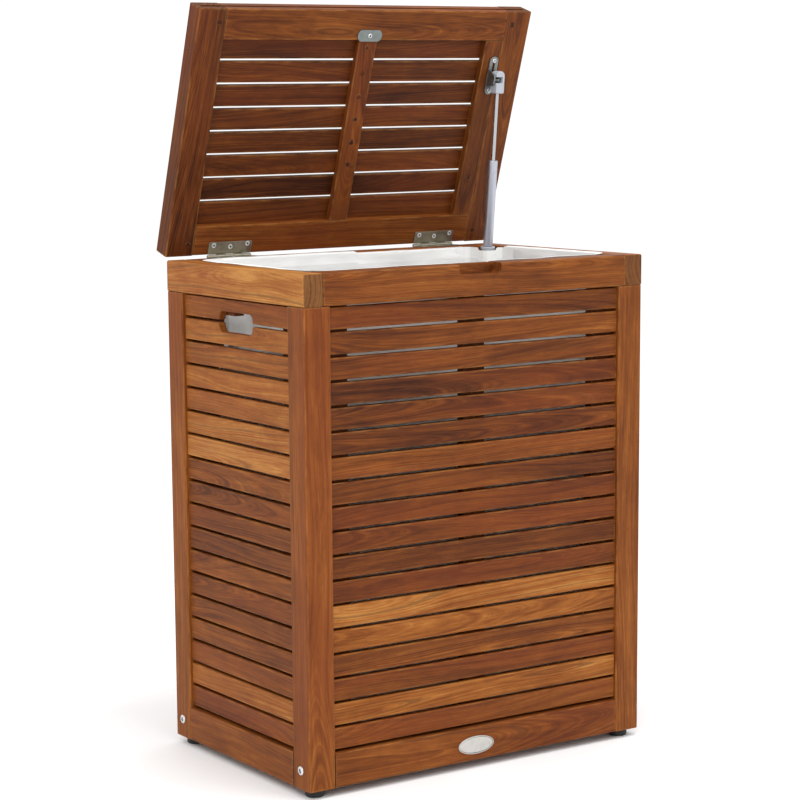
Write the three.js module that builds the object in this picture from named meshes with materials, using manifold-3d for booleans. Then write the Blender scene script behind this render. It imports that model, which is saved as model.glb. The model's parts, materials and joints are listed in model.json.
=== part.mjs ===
// A slatted teak laundry hamper with a cloth bag inside, a framed lid on two butt hinges,
// and a damped strut that holds the lid open. Millimetres, +Z up, the front faces -Y.
// The floor is z = 0, and the model is centred on the box that it fills with its lid open.

import * as THREE from 'three';
import { mergeVertices } from 'three/addons/utils/BufferGeometryUtils.js';
import Module from 'manifold-3d';

const wasm = await Module();
wasm.setup();

// Body
const BODY_WIDTH = 600;
const BODY_DEPTH = 380;
const POST_SIZE = 44;
const POST_HEIGHT = 682.5;
const COLLAR_HEIGHT = 46;
const RAIL_THICKNESS = 32;
const BOTTOM_RAIL_HEIGHT = 50.5;
const EDGE_EASE = 3;
const FOOT_RADIUS = 14;
const FOOT_HEIGHT = 12;

// Slatted panels
const SLAT_COUNT = 18;
const SLAT_HEIGHT = 31;
const SLAT_GAP = 4;
const SLAT_THICKNESS = 12;
const SLAT_RECESS = 5;
const CLEAT_WIDTH = 38;
const CLEAT_THICKNESS = RAIL_THICKNESS - SLAT_RECESS - SLAT_THICKNESS;
const CLEAT_SINK = 0.5;

// Hand hole in each side panel, and the finger notch in the front of the collar
const HANDLE_WIDTH = 92;
const HANDLE_HEIGHT = 30;
const HANDLE_CORNER = 10;
const HANDLE_BLOCK_START = 20;
const HANDLE_BLOCK_DROP = 27;
const NOTCH_WIDTH = 74;
const NOTCH_DROP = 15.5;
const NOTCH_DEPTH = 20;
const NOTCH_CORNER = 7;

// Bolts and badge
const BOLT_HEIGHT = 28;
const BOLT_HEAD_RADIUS = 6.6;
const BOLT_HEAD_THICKNESS = 2.6;
const BOLT_SHANK_RADIUS = 3;
const BOLT_REACH = 78;
const BOLT_CLEARANCE = 0.4;
const BOLT_SOCKET_RADIUS = 2.9;
const BADGE_WIDTH = 64;
const BADGE_HEIGHT = 27;
const BADGE_THICKNESS = 1.5;
const BADGE_X = -10;
const BADGE_RISE = 23.5;

// Floor deck
const DECK_BEARER = 20;
const DECK_BEARER_DROP = 8;
const DECK_SLAT_COUNT = 7;
const DECK_SLAT_WIDTH = 60;
const DECK_SLAT_THICKNESS = 12;
const DECK_LENGTH = 498;

// Cloth bag
const BAG_WIDTH = 524;
const BAG_DEPTH = 304;
const BAG_CORNER = 32;
const BAG_WALL = 3;
const BAG_TOP_DROP = 2;
const BAG_FLOOR_GAP = 1;
const STRUT_ROOM_INSIDE = 14;
const STRUT_ROOM_FRONT = 15;
const STRUT_ROOM_BACK = 38;
const STRUT_ROOM_DROP = 46;

// Lid, measured from its back edge (reach) and from its underside (drop)
const LID_WIDTH = 600;
const LID_REACH = 380;
const LID_THICKNESS = 31;
const LID_MEMBER = 46;
const LID_GAP = 3;
const LID_OPEN_ANGLE = THREE.MathUtils.degToRad(72);
const LID_SLAT_COUNT = 8;
const LID_SLAT_PITCH = 36.2;
const LID_SLAT_GAP = 4;
const LID_SLAT_MIDDLE = 191.5;
const LID_SLAT_THICKNESS = 8;
const LID_SLAT_RECESS = 10.5;
const LID_GROOVE_DEPTH = 8;
const LID_BATTEN_WIDTH = 32;
const LID_PULL_HEIGHT = 7;
const LID_PULL_DEPTH = 3;
const LID_PULL_RISE = 9.5;
const LID_PULL_MARGIN = 8;
const JOINT_GAP = 0.3;

// Hinges
const HINGE_LENGTH = 76;
const HINGE_X = 190;
const HINGE_LEAF_WIDTH = 20;
const HINGE_LEAF_THICKNESS = 1.2;
const HINGE_KNUCKLE_RADIUS = 3;
const HINGE_KNUCKLES = 5;
const HINGE_PIN_RADIUS = 1.4;
const HINGE_PIN_CLEARANCE = 0.1;
const HINGE_PIN_SETBACK = 2.3;

// Magnetic catch
const STRIKE_LENGTH = 44;
const STRIKE_WIDTH = 18;
const STRIKE_THICKNESS = 1.8;
const STRIKE_REACH = 341;
const CATCH_WIDTH = 44;
const CATCH_DEPTH = 18;
const CATCH_HEIGHT = 15;
const CATCH_DROP = 2;

// Strut
const STRUT_X = 247;
const STRUT_BALL_REACH = 275;
const STRUT_BALL_DROP = 14.5;
const STRUT_FOOT_Y = 122.5;
const STRUT_FOOT_DROP = 21.3;
const BALL_RADIUS = 4;
const BALL_CAVITY = 4.6;
const STUD_RADIUS = 2.4;
const SOCKET_SIZE = 16;
const SOCKET_NOSE = 14;
const SOCKET_TAIL = 21;
const ROD_RADIUS = 3;
const ROD_EXPOSED = 105;
const ROD_INSIDE = 25;
const CYLINDER_RADIUS = 7.5;
const CYLINDER_WALL = 1.6;
const FLANGE_RADIUS = 11.5;
const FLANGE_HEIGHT = 6.4;
const LID_PLATE_LENGTH = 61;
const LID_PLATE_WIDTH = 16;
const LID_PLATE_REACH = 278;
const BODY_PLATE_LENGTH = 38;
const BODY_PLATE_WIDTH = 20;
const PLATE_THICKNESS = 2;
const EAR_THICKNESS = 2.5;
const EAR_LENGTH = 26;

// Heights and places worked out from the sizes above
const POST_BASE = FOOT_HEIGHT;
const COLLAR_BASE = POST_BASE + POST_HEIGHT;
const COLLAR_TOP = COLLAR_BASE + COLLAR_HEIGHT;
const SLAT_PITCH = SLAT_HEIGHT + SLAT_GAP;
const FIRST_SLAT = POST_BASE + BOTTOM_RAIL_HEIGHT + SLAT_GAP;
const HANDLE_Z = FIRST_SLAT + (SLAT_COUNT - 1) * SLAT_PITCH - SLAT_GAP / 2;
const HALF_WIDTH = BODY_WIDTH / 2;
const HALF_DEPTH = BODY_DEPTH / 2;
const HINGE_Y = HALF_DEPTH + HINGE_PIN_SETBACK;
const HINGE_Z = COLLAR_TOP + LID_GAP / 2;
const LID_UNDERSIDE = LID_GAP / 2;
const FRONT_EXTENT = HALF_DEPTH + BADGE_THICKNESS;
const BACK_EXTENT = HINGE_Y
  - HINGE_PIN_SETBACK * Math.cos(LID_OPEN_ANGLE)
  + (LID_UNDERSIDE + LID_THICKNESS) * Math.sin(LID_OPEN_ANGLE);
const CENTRE_SHIFT = (FRONT_EXTENT - BACK_EXTENT) / 2;

// ---------------------------------------------------------------- materials

function wood(color) {
  return new THREE.MeshStandardMaterial({ color, roughness: 0.55, metalness: 0 });
}

function metal(color, roughness) {
  return new THREE.MeshStandardMaterial({ color, roughness, metalness: 0.9 });
}

function plastic(color) {
  return new THREE.MeshStandardMaterial({ color, roughness: 0.5, metalness: 0 });
}

function cloth(color) {
  return new THREE.MeshStandardMaterial({ color, roughness: 0.95, metalness: 0 });
}

const TEAK_POST = 0x8f5a32;
const TEAK_RAIL = 0x94562c;
const TEAK_COLLAR = 0xa8703c;
const TEAK_SLAT = 0x8a4c26;
const TEAK_LID = 0x7c4624;
const TEAK_DECK = 0x9c6a3e;
const STEEL = 0x8d8a80;
const ZINC = 0x9a9c9e;
const GREY_PLASTIC = 0xb4b8bd;
const BLACK_PLASTIC = 0x1b1b1c;
const COTTON = 0xece9e2;

// ---------------------------------------------------------------- solids

function solidOf(geometry) {
  const bare = geometry.clone();
  bare.deleteAttribute('normal');
  bare.deleteAttribute('uv');
  const merged = mergeVertices(bare, 1e-4);
  const mesh = new wasm.Mesh({
    numProp: 3,
    vertProperties: merged.attributes.position.array,
    triVerts: Uint32Array.from(merged.index.array),
  });
  return new wasm.Manifold(mesh);
}

function geometryOf(solid) {
  const mesh = solid.getMesh();
  const geometry = new THREE.BufferGeometry();
  geometry.setAttribute('position', new THREE.BufferAttribute(Float32Array.from(mesh.vertProperties), 3));
  geometry.setIndex(new THREE.BufferAttribute(Uint32Array.from(mesh.triVerts), 1));
  geometry.computeVertexNormals();
  return geometry;
}

function union(pieces) {
  return pieces.reduce((whole, piece) => whole.add(piece));
}

function meshOf(name, geometry, material) {
  const mesh = new THREE.Mesh(geometry, material);
  mesh.name = name;
  return mesh;
}

// A plain box between two corners.
function boxBetween(low, high) {
  const size = high.map((value, axis) => value - low[axis]);
  const geometry = new THREE.BoxGeometry(size[0], size[1], size[2]);
  geometry.translate(low[0] + size[0] / 2, low[1] + size[1] / 2, low[2] + size[2] / 2);
  return geometry;
}

function rectangleShape(width, height, ease) {
  const x = width / 2;
  const y = height / 2;
  return new THREE.Shape([
    new THREE.Vector2(-x + ease, -y),
    new THREE.Vector2(x - ease, -y),
    new THREE.Vector2(x, -y + ease),
    new THREE.Vector2(x, y - ease),
    new THREE.Vector2(x - ease, y),
    new THREE.Vector2(-x + ease, y),
    new THREE.Vector2(-x, y - ease),
    new THREE.Vector2(-x, -y + ease),
  ]);
}

function roundedShape(width, height, radius) {
  const x = width / 2;
  const y = height / 2;
  const shape = new THREE.Shape();
  shape.moveTo(-x + radius, -y);
  shape.lineTo(x - radius, -y);
  shape.absarc(x - radius, -y + radius, radius, -Math.PI / 2, 0);
  shape.lineTo(x, y - radius);
  shape.absarc(x - radius, y - radius, radius, 0, Math.PI / 2);
  shape.lineTo(-x + radius, y);
  shape.absarc(-x + radius, y - radius, radius, Math.PI / 2, Math.PI);
  shape.lineTo(-x, -y + radius);
  shape.absarc(-x + radius, -y + radius, radius, Math.PI, 1.5 * Math.PI);
  return shape;
}

function extrude(shape, depth, curveSegments = 6) {
  return new THREE.ExtrudeGeometry(shape, { depth, bevelEnabled: false, curveSegments });
}

// A board between two corners, with its long edges eased.
function boardBetween(low, high, along, ease = EDGE_EASE) {
  const size = high.map((value, axis) => value - low[axis]);
  const centre = low.map((value, axis) => value + size[axis] / 2);
  let geometry;
  if (along === 'x') {
    geometry = extrude(rectangleShape(size[2], size[1], ease), size[0]);
    geometry.translate(0, 0, -size[0] / 2);
    geometry.rotateY(Math.PI / 2);
  } else if (along === 'y') {
    geometry = extrude(rectangleShape(size[0], size[2], ease), size[1]);
    geometry.translate(0, 0, -size[1] / 2);
    geometry.rotateX(Math.PI / 2);
  } else {
    geometry = extrude(rectangleShape(size[0], size[1], ease), size[2]);
    geometry.translate(0, 0, -size[2] / 2);
  }
  geometry.translate(centre[0], centre[1], centre[2]);
  return geometry;
}

// A round bar along X between two ends.
function barAlongX(radius, startX, endX, y, z, sides = 16) {
  const geometry = new THREE.CylinderGeometry(radius, radius, endX - startX, sides);
  geometry.rotateZ(Math.PI / 2);
  geometry.translate((startX + endX) / 2, y, z);
  return geometry;
}

// ---------------------------------------------------------------- body frame

function boltLine(side, end) {
  return {
    start: side < 0 ? -HALF_WIDTH : HALF_WIDTH - BOLT_REACH,
    finish: side < 0 ? -HALF_WIDTH + BOLT_REACH : HALF_WIDTH,
    y: end * (HALF_DEPTH - POST_SIZE / 2),
    z: POST_BASE + BOLT_HEIGHT,
  };
}

function boltHole(side, end) {
  const line = boltLine(side, end);
  const radius = BOLT_SHANK_RADIUS + BOLT_CLEARANCE;
  return solidOf(barAlongX(radius, line.start - 1, line.finish + 1, line.y, line.z));
}

function makePost(name, side, end) {
  const x = side < 0 ? -HALF_WIDTH : HALF_WIDTH - POST_SIZE;
  const y = end < 0 ? -HALF_DEPTH : HALF_DEPTH - POST_SIZE;
  const low = [x, y, POST_BASE];
  const high = [x + POST_SIZE, y + POST_SIZE, COLLAR_BASE];
  const solid = solidOf(boardBetween(low, high, 'z')).subtract(boltHole(side, end));
  return meshOf(name, geometryOf(solid), wood(TEAK_POST));
}

function makeLongBottomRail(name, end) {
  const y = end < 0 ? -HALF_DEPTH : HALF_DEPTH - RAIL_THICKNESS;
  const low = [-HALF_WIDTH + POST_SIZE, y, POST_BASE];
  const high = [HALF_WIDTH - POST_SIZE, y + RAIL_THICKNESS, POST_BASE + BOTTOM_RAIL_HEIGHT];
  const solid = solidOf(boardBetween(low, high, 'x'))
    .subtract(boltHole(-1, end))
    .subtract(boltHole(1, end));
  return meshOf(name, geometryOf(solid), wood(TEAK_RAIL));
}

function makeShortBottomRail(name, side) {
  const x = side < 0 ? -HALF_WIDTH : HALF_WIDTH - RAIL_THICKNESS;
  const low = [x, -HALF_DEPTH + POST_SIZE, POST_BASE];
  const high = [x + RAIL_THICKNESS, HALF_DEPTH - POST_SIZE, POST_BASE + BOTTOM_RAIL_HEIGHT];
  return meshOf(name, boardBetween(low, high, 'y'), wood(TEAK_RAIL));
}

// The collar's side rails run the full depth, so their end grain shows at the front.
function makeCollarSideRail(name, side) {
  const x = side < 0 ? -HALF_WIDTH : HALF_WIDTH - RAIL_THICKNESS;
  const low = [x, -HALF_DEPTH, COLLAR_BASE];
  const high = [x + RAIL_THICKNESS, HALF_DEPTH, COLLAR_TOP];
  return meshOf(name, boardBetween(low, high, 'y'), wood(TEAK_COLLAR));
}

function fingerNotch() {
  const shape = roundedShape(NOTCH_WIDTH, 2 * NOTCH_DROP, NOTCH_CORNER);
  const cutter = extrude(shape, NOTCH_DEPTH + 1);
  cutter.rotateX(Math.PI / 2);
  cutter.translate(0, -HALF_DEPTH + NOTCH_DEPTH, COLLAR_TOP);
  return solidOf(cutter);
}

function makeCollarEndRail(name, end) {
  const y = end < 0 ? -HALF_DEPTH : HALF_DEPTH - RAIL_THICKNESS;
  const low = [-HALF_WIDTH + RAIL_THICKNESS, y, COLLAR_BASE];
  const high = [HALF_WIDTH - RAIL_THICKNESS, y + RAIL_THICKNESS, COLLAR_TOP];
  const board = boardBetween(low, high, 'x');
  if (end > 0) {
    return meshOf(name, board, wood(TEAK_COLLAR));
  }
  return meshOf(name, geometryOf(solidOf(board).subtract(fingerNotch())), wood(TEAK_COLLAR));
}

// ---------------------------------------------------------------- slatted panels

// A panel is built as if its outside faced -Y at y = 0, centred on x = 0.
function panelSolid(length) {
  const pieces = [];
  for (let index = 0; index < SLAT_COUNT; index += 1) {
    const base = FIRST_SLAT + index * SLAT_PITCH;
    const low = [-length / 2, SLAT_RECESS, base];
    const high = [length / 2, SLAT_RECESS + SLAT_THICKNESS, base + SLAT_HEIGHT];
    pieces.push(solidOf(boxBetween(low, high)));
  }
  return union(pieces);
}

function cleatSolid(startX, width, baseZ) {
  const front = SLAT_RECESS + SLAT_THICKNESS - CLEAT_SINK;
  const low = [startX, front, baseZ];
  const high = [startX + width, front + CLEAT_SINK + CLEAT_THICKNESS, COLLAR_BASE];
  return solidOf(boxBetween(low, high));
}

function makeWidePanel(name, end) {
  const length = BODY_WIDTH - 2 * POST_SIZE;
  const base = POST_BASE + BOTTOM_RAIL_HEIGHT;
  const solid = union([
    panelSolid(length),
    cleatSolid(-length / 2, CLEAT_WIDTH, base),
    cleatSolid(-CLEAT_WIDTH / 2, CLEAT_WIDTH, base),
    cleatSolid(length / 2 - CLEAT_WIDTH, CLEAT_WIDTH, base),
  ]);
  const mesh = meshOf(name, geometryOf(solid), wood(TEAK_SLAT));
  mesh.rotation.z = end < 0 ? 0 : Math.PI;
  mesh.position.y = end * HALF_DEPTH;
  return mesh;
}

function handHole() {
  const cutter = extrude(roundedShape(HANDLE_WIDTH, HANDLE_HEIGHT, HANDLE_CORNER), RAIL_THICKNESS + 2);
  cutter.rotateX(Math.PI / 2);
  cutter.translate(0, RAIL_THICKNESS + 1, HANDLE_Z);
  return solidOf(cutter);
}

function makeSidePanel(name, side) {
  const length = BODY_DEPTH - 2 * POST_SIZE;
  const base = POST_BASE + BOTTOM_RAIL_HEIGHT;
  const blockStart = side < 0 ? -HANDLE_BLOCK_START - CLEAT_WIDTH : HANDLE_BLOCK_START;
  const solid = union([
    panelSolid(length).subtract(handHole()),
    cleatSolid(-length / 2, CLEAT_WIDTH, base),
    cleatSolid(length / 2 - CLEAT_WIDTH, CLEAT_WIDTH, base),
    cleatSolid(blockStart, CLEAT_WIDTH, COLLAR_BASE - HANDLE_BLOCK_DROP),
  ]);
  const mesh = meshOf(name, geometryOf(solid), wood(TEAK_SLAT));
  mesh.rotation.z = side * Math.PI / 2;
  mesh.position.x = side * HALF_WIDTH;
  return mesh;
}

// ---------------------------------------------------------------- floor deck, feet, bolts, badge

function makeFloorDeck(name) {
  const bearerTop = POST_BASE + DECK_BEARER_DROP + DECK_BEARER;
  const outer = HALF_DEPTH - RAIL_THICKNESS;
  const pieces = [-1, 1].map((end) => {
    const y = end < 0 ? -outer : outer - DECK_BEARER;
    const low = [-DECK_LENGTH / 2, y, bearerTop - DECK_BEARER];
    const high = [DECK_LENGTH / 2, y + DECK_BEARER, bearerTop];
    return solidOf(boxBetween(low, high));
  });
  const pitch = (DECK_LENGTH - DECK_SLAT_WIDTH) / (DECK_SLAT_COUNT - 1);
  for (let index = 0; index < DECK_SLAT_COUNT; index += 1) {
    const x = -DECK_LENGTH / 2 + index * pitch;
    const low = [x, -outer, bearerTop - CLEAT_SINK];
    const high = [x + DECK_SLAT_WIDTH, outer, bearerTop + DECK_SLAT_THICKNESS];
    pieces.push(solidOf(boxBetween(low, high)));
  }
  return meshOf(name, geometryOf(union(pieces)), wood(TEAK_DECK));
}

function makeFoot(name, side, end) {
  const profile = [
    new THREE.Vector2(0, 0),
    new THREE.Vector2(FOOT_RADIUS - 2, 0),
    new THREE.Vector2(FOOT_RADIUS, 2),
    new THREE.Vector2(FOOT_RADIUS, FOOT_HEIGHT),
    new THREE.Vector2(0, FOOT_HEIGHT),
  ];
  const geometry = new THREE.LatheGeometry(profile, 24);
  geometry.rotateX(Math.PI / 2);
  const mesh = meshOf(name, geometry, plastic(BLACK_PLASTIC));
  mesh.position.set(side * (HALF_WIDTH - POST_SIZE / 2), end * (HALF_DEPTH - POST_SIZE / 2), 0);
  return mesh;
}

function makeBolt(name, side, end) {
  const line = boltLine(side, end);
  const face = side * HALF_WIDTH;
  const outside = face + side * BOLT_HEAD_THICKNESS;
  const head = barAlongX(
    BOLT_HEAD_RADIUS, Math.min(face, outside), Math.max(face, outside), line.y, line.z, 24,
  );
  const shank = barAlongX(
    BOLT_SHANK_RADIUS, line.start + (side > 0 ? 2 : -1), line.finish - (side < 0 ? 2 : -1), line.y, line.z,
  );
  const socketFloor = outside - side * (BOLT_HEAD_THICKNESS - 0.6);
  const socketMouth = outside + side;
  const socket = barAlongX(
    BOLT_SOCKET_RADIUS, Math.min(socketFloor, socketMouth), Math.max(socketFloor, socketMouth),
    line.y, line.z, 6,
  );
  const solid = solidOf(head).add(solidOf(shank)).subtract(solidOf(socket));
  return meshOf(name, geometryOf(solid), metal(STEEL, 0.35));
}

function makeBadge(name) {
  const shape = new THREE.Shape();
  shape.absellipse(0, 0, BADGE_WIDTH / 2, BADGE_HEIGHT / 2, 0, 2 * Math.PI);
  const geometry = extrude(shape, BADGE_THICKNESS, 16);
  geometry.rotateX(Math.PI / 2);
  geometry.translate(BADGE_X, -HALF_DEPTH, POST_BASE + BADGE_RISE);
  return meshOf(name, geometry, metal(ZINC, 0.4));
}

// ---------------------------------------------------------------- cloth bag

function makeBag(name) {
  const deckTop = POST_BASE + DECK_BEARER_DROP + DECK_BEARER + DECK_SLAT_THICKNESS;
  const base = deckTop + BAG_FLOOR_GAP;
  const top = COLLAR_TOP - BAG_TOP_DROP;
  const outer = extrude(roundedShape(BAG_WIDTH, BAG_DEPTH, BAG_CORNER), top - base, 5);
  outer.translate(0, 0, base);
  const inner = extrude(
    roundedShape(BAG_WIDTH - 2 * BAG_WALL, BAG_DEPTH - 2 * BAG_WALL, BAG_CORNER - BAG_WALL), top - base, 5,
  );
  inner.translate(0, 0, base + BAG_WALL);
  const catchRoom = boxBetween(
    [-CATCH_WIDTH / 2 - 3, -HALF_DEPTH, COLLAR_TOP - CATCH_DROP - CATCH_HEIGHT - 3],
    [CATCH_WIDTH / 2 + 3, -BAG_DEPTH / 2 + 20, COLLAR_TOP + 1],
  );
  const strutRoom = boxBetween(
    [STRUT_X - STRUT_ROOM_INSIDE, STRUT_FOOT_Y - STRUT_ROOM_FRONT, COLLAR_TOP - STRUT_ROOM_DROP],
    [HALF_WIDTH, STRUT_FOOT_Y + STRUT_ROOM_BACK, COLLAR_TOP + 1],
  );
  const solid = solidOf(outer)
    .subtract(solidOf(inner))
    .subtract(solidOf(catchRoom))
    .subtract(solidOf(strutRoom));
  return meshOf(name, geometryOf(solid), cloth(COTTON));
}

// ---------------------------------------------------------------- lid

// Lid pieces are built closed, about the hinge pin: reach runs to the front, rise runs up.
function lidLow(x, reach, rise) {
  return [x, -HINGE_PIN_SETBACK - reach, LID_UNDERSIDE + rise];
}

function lidBox(startX, endX, startReach, endReach, startRise, endRise) {
  const low = lidLow(startX, endReach, startRise);
  const high = lidLow(endX, startReach, endRise);
  return [low, high];
}

// The groove that holds the lid slats runs round the inside of the frame.
function slatGroove() {
  const depth = LID_MEMBER - LID_GROOVE_DEPTH;
  const [low, high] = lidBox(
    -LID_WIDTH / 2 + depth, LID_WIDTH / 2 - depth, depth, LID_REACH - depth,
    LID_SLAT_RECESS - JOINT_GAP, LID_SLAT_RECESS + LID_SLAT_THICKNESS + JOINT_GAP,
  );
  return solidOf(boxBetween(low, high));
}

// A shallow pull groove along the front edge.
function pullGroove() {
  const [low, high] = lidBox(
    -LID_WIDTH / 2 + LID_PULL_MARGIN, LID_WIDTH / 2 - LID_PULL_MARGIN,
    LID_REACH - LID_PULL_DEPTH, LID_REACH + 1, LID_PULL_RISE, LID_PULL_RISE + LID_PULL_HEIGHT,
  );
  return solidOf(boxBetween(low, high));
}

function makeLidStile(name, side) {
  const x = side < 0 ? -LID_WIDTH / 2 : LID_WIDTH / 2 - LID_MEMBER;
  const [low, high] = lidBox(x, x + LID_MEMBER, 0, LID_REACH, 0, LID_THICKNESS);
  const solid = solidOf(boardBetween(low, high, 'y')).subtract(slatGroove()).subtract(pullGroove());
  return meshOf(name, geometryOf(solid), wood(TEAK_LID));
}

function makeLidRail(name, startReach) {
  const x = LID_WIDTH / 2 - LID_MEMBER - JOINT_GAP;
  const [low, high] = lidBox(-x, x, startReach, startReach + LID_MEMBER, 0, LID_THICKNESS);
  const solid = solidOf(boardBetween(low, high, 'x')).subtract(slatGroove()).subtract(pullGroove());
  return meshOf(name, geometryOf(solid), wood(TEAK_LID));
}

function lidSlatSpan(index) {
  const firstGap = LID_SLAT_MIDDLE - LID_SLAT_PITCH * (LID_SLAT_COUNT - 2) / 2;
  const frameReach = LID_MEMBER - LID_GROOVE_DEPTH + JOINT_GAP;
  let start = firstGap + (index - 1) * LID_SLAT_PITCH + LID_SLAT_GAP / 2;
  let finish = firstGap + index * LID_SLAT_PITCH - LID_SLAT_GAP / 2;
  if (index === 0) {
    start = frameReach;
  }
  if (index === LID_SLAT_COUNT - 1) {
    finish = LID_REACH - frameReach;
  }
  return [start, finish];
}

function makeLidSlat(name, index) {
  const x = LID_WIDTH / 2 - LID_MEMBER + LID_GROOVE_DEPTH - JOINT_GAP;
  const [start, finish] = lidSlatSpan(index);
  const rise = LID_SLAT_RECESS;
  const [low, high] = lidBox(-x, x, start, finish, rise, rise + LID_SLAT_THICKNESS);
  return meshOf(name, boardBetween(low, high, 'x', 1), wood(TEAK_LID));
}

function makeLidBatten(name, centreX) {
  const x = LID_BATTEN_WIDTH / 2;
  const reach = LID_MEMBER + JOINT_GAP;
  const [low, high] = lidBox(
    centreX - x, centreX + x, reach, LID_REACH - reach, 0, LID_SLAT_RECESS - JOINT_GAP,
  );
  return meshOf(name, boardBetween(low, high, 'y', 1), wood(TEAK_LID));
}

function makeStrikePlate(name) {
  const geometry = extrude(
    roundedShape(STRIKE_LENGTH, STRIKE_WIDTH, STRIKE_WIDTH / 2 - 0.5), STRIKE_THICKNESS, 6,
  );
  geometry.translate(0, -HINGE_PIN_SETBACK - STRIKE_REACH, LID_UNDERSIDE - STRIKE_THICKNESS - JOINT_GAP);
  return meshOf(name, geometry, metal(ZINC, 0.45));
}

function makeMagneticCatch(name) {
  const y = -HALF_DEPTH + RAIL_THICKNESS;
  const top = COLLAR_TOP - CATCH_DROP;
  const low = [-CATCH_WIDTH / 2, y, top - CATCH_HEIGHT];
  const high = [CATCH_WIDTH / 2, y + CATCH_DEPTH, top];
  return meshOf(name, boardBetween(low, high, 'x', 1), plastic(BLACK_PLASTIC));
}

// ---------------------------------------------------------------- hinges

// Both leaves share a row of knuckles: the body leaf has the odd ones and the lid leaf the rest.
function leafSolid(centreX, isLid) {
  const knuckle = HINGE_LENGTH / HINGE_KNUCKLES;
  const startX = centreX - HINGE_LENGTH / 2;
  const z = isLid ? LID_UNDERSIDE - JOINT_GAP / 2 : -LID_UNDERSIDE + JOINT_GAP / 2;
  const plateLow = Math.min(z, isLid ? z - HINGE_LEAF_THICKNESS : z + HINGE_LEAF_THICKNESS);
  const plate = boxBetween(
    [startX, -HINGE_KNUCKLE_RADIUS - HINGE_LEAF_WIDTH, plateLow],
    [startX + HINGE_LENGTH, -HINGE_KNUCKLE_RADIUS - 0.4, plateLow + HINGE_LEAF_THICKNESS],
  );
  const pieces = [solidOf(plate)];
  for (let index = 0; index < HINGE_KNUCKLES; index += 1) {
    if ((index % 2 === 1) === isLid) {
      const from = startX + index * knuckle + 0.2;
      const to = startX + (index + 1) * knuckle - 0.2;
      const web = boxBetween(
        [from, -HINGE_KNUCKLE_RADIUS - 1, plateLow],
        [to, 0, plateLow + HINGE_LEAF_THICKNESS],
      );
      pieces.push(solidOf(barAlongX(HINGE_KNUCKLE_RADIUS, from, to, 0, 0)));
      pieces.push(solidOf(web));
    }
  }
  const bore = barAlongX(
    HINGE_PIN_RADIUS + HINGE_PIN_CLEARANCE, startX - 1, startX + HINGE_LENGTH + 1, 0, 0,
  );
  return union(pieces).subtract(solidOf(bore));
}

function makeHingeLeaf(name, centreX, isLid) {
  return meshOf(name, geometryOf(leafSolid(centreX, isLid)), metal(STEEL, 0.4));
}

function makeHingePin(name, centreX) {
  const reach = HINGE_LENGTH / 2 + 1;
  const geometry = barAlongX(HINGE_PIN_RADIUS, centreX - reach, centreX + reach, 0, 0);
  return meshOf(name, geometry, metal(STEEL, 0.4));
}

// ---------------------------------------------------------------- strut

function ballAndNeck(fromX) {
  const ball = solidOf(new THREE.SphereGeometry(BALL_RADIUS, 16, 12));
  const neck = solidOf(barAlongX(STUD_RADIUS, Math.min(fromX, 0), Math.max(fromX, 0), 0, 0, 12));
  return ball.add(neck);
}

// The lid bracket is built about its ball, closed: a slotted oval plate against the lid,
// an ear beside the socket, and the ball on its stud.
function makeLidBracket(name) {
  const earX = -SOCKET_SIZE / 2 - 1.5 - EAR_THICKNESS;
  const plateTop = STRUT_BALL_DROP - JOINT_GAP;
  const plateShape = roundedShape(LID_PLATE_WIDTH, LID_PLATE_LENGTH, LID_PLATE_WIDTH / 2 - 0.5);
  const plate = extrude(plateShape, PLATE_THICKNESS);
  const plateY = STRUT_BALL_REACH - LID_PLATE_REACH;
  plate.translate(earX + LID_PLATE_WIDTH / 2, plateY, plateTop - PLATE_THICKNESS);
  const slotShape = roundedShape(4, 18, 1.9);
  const slot = extrude(slotShape, PLATE_THICKNESS + 2);
  slot.translate(earX + LID_PLATE_WIDTH / 2, plateY - 18, plateTop - PLATE_THICKNESS - 1);
  const ear = boxBetween(
    [earX, -EAR_LENGTH / 2, -6],
    [earX + EAR_THICKNESS, EAR_LENGTH / 2, plateTop - PLATE_THICKNESS + 0.5],
  );
  const solid = solidOf(plate)
    .add(solidOf(ear))
    .add(ballAndNeck(earX + EAR_THICKNESS / 2))
    .subtract(solidOf(slot));
  const mesh = meshOf(name, geometryOf(solid), metal(ZINC, 0.45));
  const [low] = lidBox(STRUT_X, STRUT_X, 0, STRUT_BALL_REACH, -STRUT_BALL_DROP, 0);
  mesh.position.set(low[0], low[1], low[2]);
  return mesh;
}

// The body bracket stands on the right collar rail, with its stud pointing to the left.
function makeBodyBracket(name) {
  const wall = HALF_WIDTH - RAIL_THICKNESS - STRUT_X;
  const plate = boxBetween(
    [wall - PLATE_THICKNESS, -BODY_PLATE_WIDTH / 2, -BODY_PLATE_LENGTH / 2],
    [wall, BODY_PLATE_WIDTH / 2, BODY_PLATE_LENGTH / 2 - 2],
  );
  const solid = solidOf(plate).add(ballAndNeck(wall - PLATE_THICKNESS / 2));
  const mesh = meshOf(name, geometryOf(solid), metal(ZINC, 0.45));
  mesh.position.set(STRUT_X, STRUT_FOOT_Y, COLLAR_TOP - STRUT_FOOT_DROP);
  return mesh;
}

// A socket is a square block with a round nose, about the ball's centre, its tail towards -Z.
function socketBlock() {
  const half = SOCKET_SIZE / 2;
  const shape = new THREE.Shape();
  shape.moveTo(-half, -SOCKET_TAIL);
  shape.lineTo(half, -SOCKET_TAIL);
  shape.lineTo(half, SOCKET_NOSE - half);
  shape.absarc(0, SOCKET_NOSE - half, half, 0, Math.PI);
  const block = extrude(shape, SOCKET_SIZE, 8);
  block.rotateX(Math.PI / 2);
  block.translate(0, half, 0);
  return solidOf(block);
}

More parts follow.
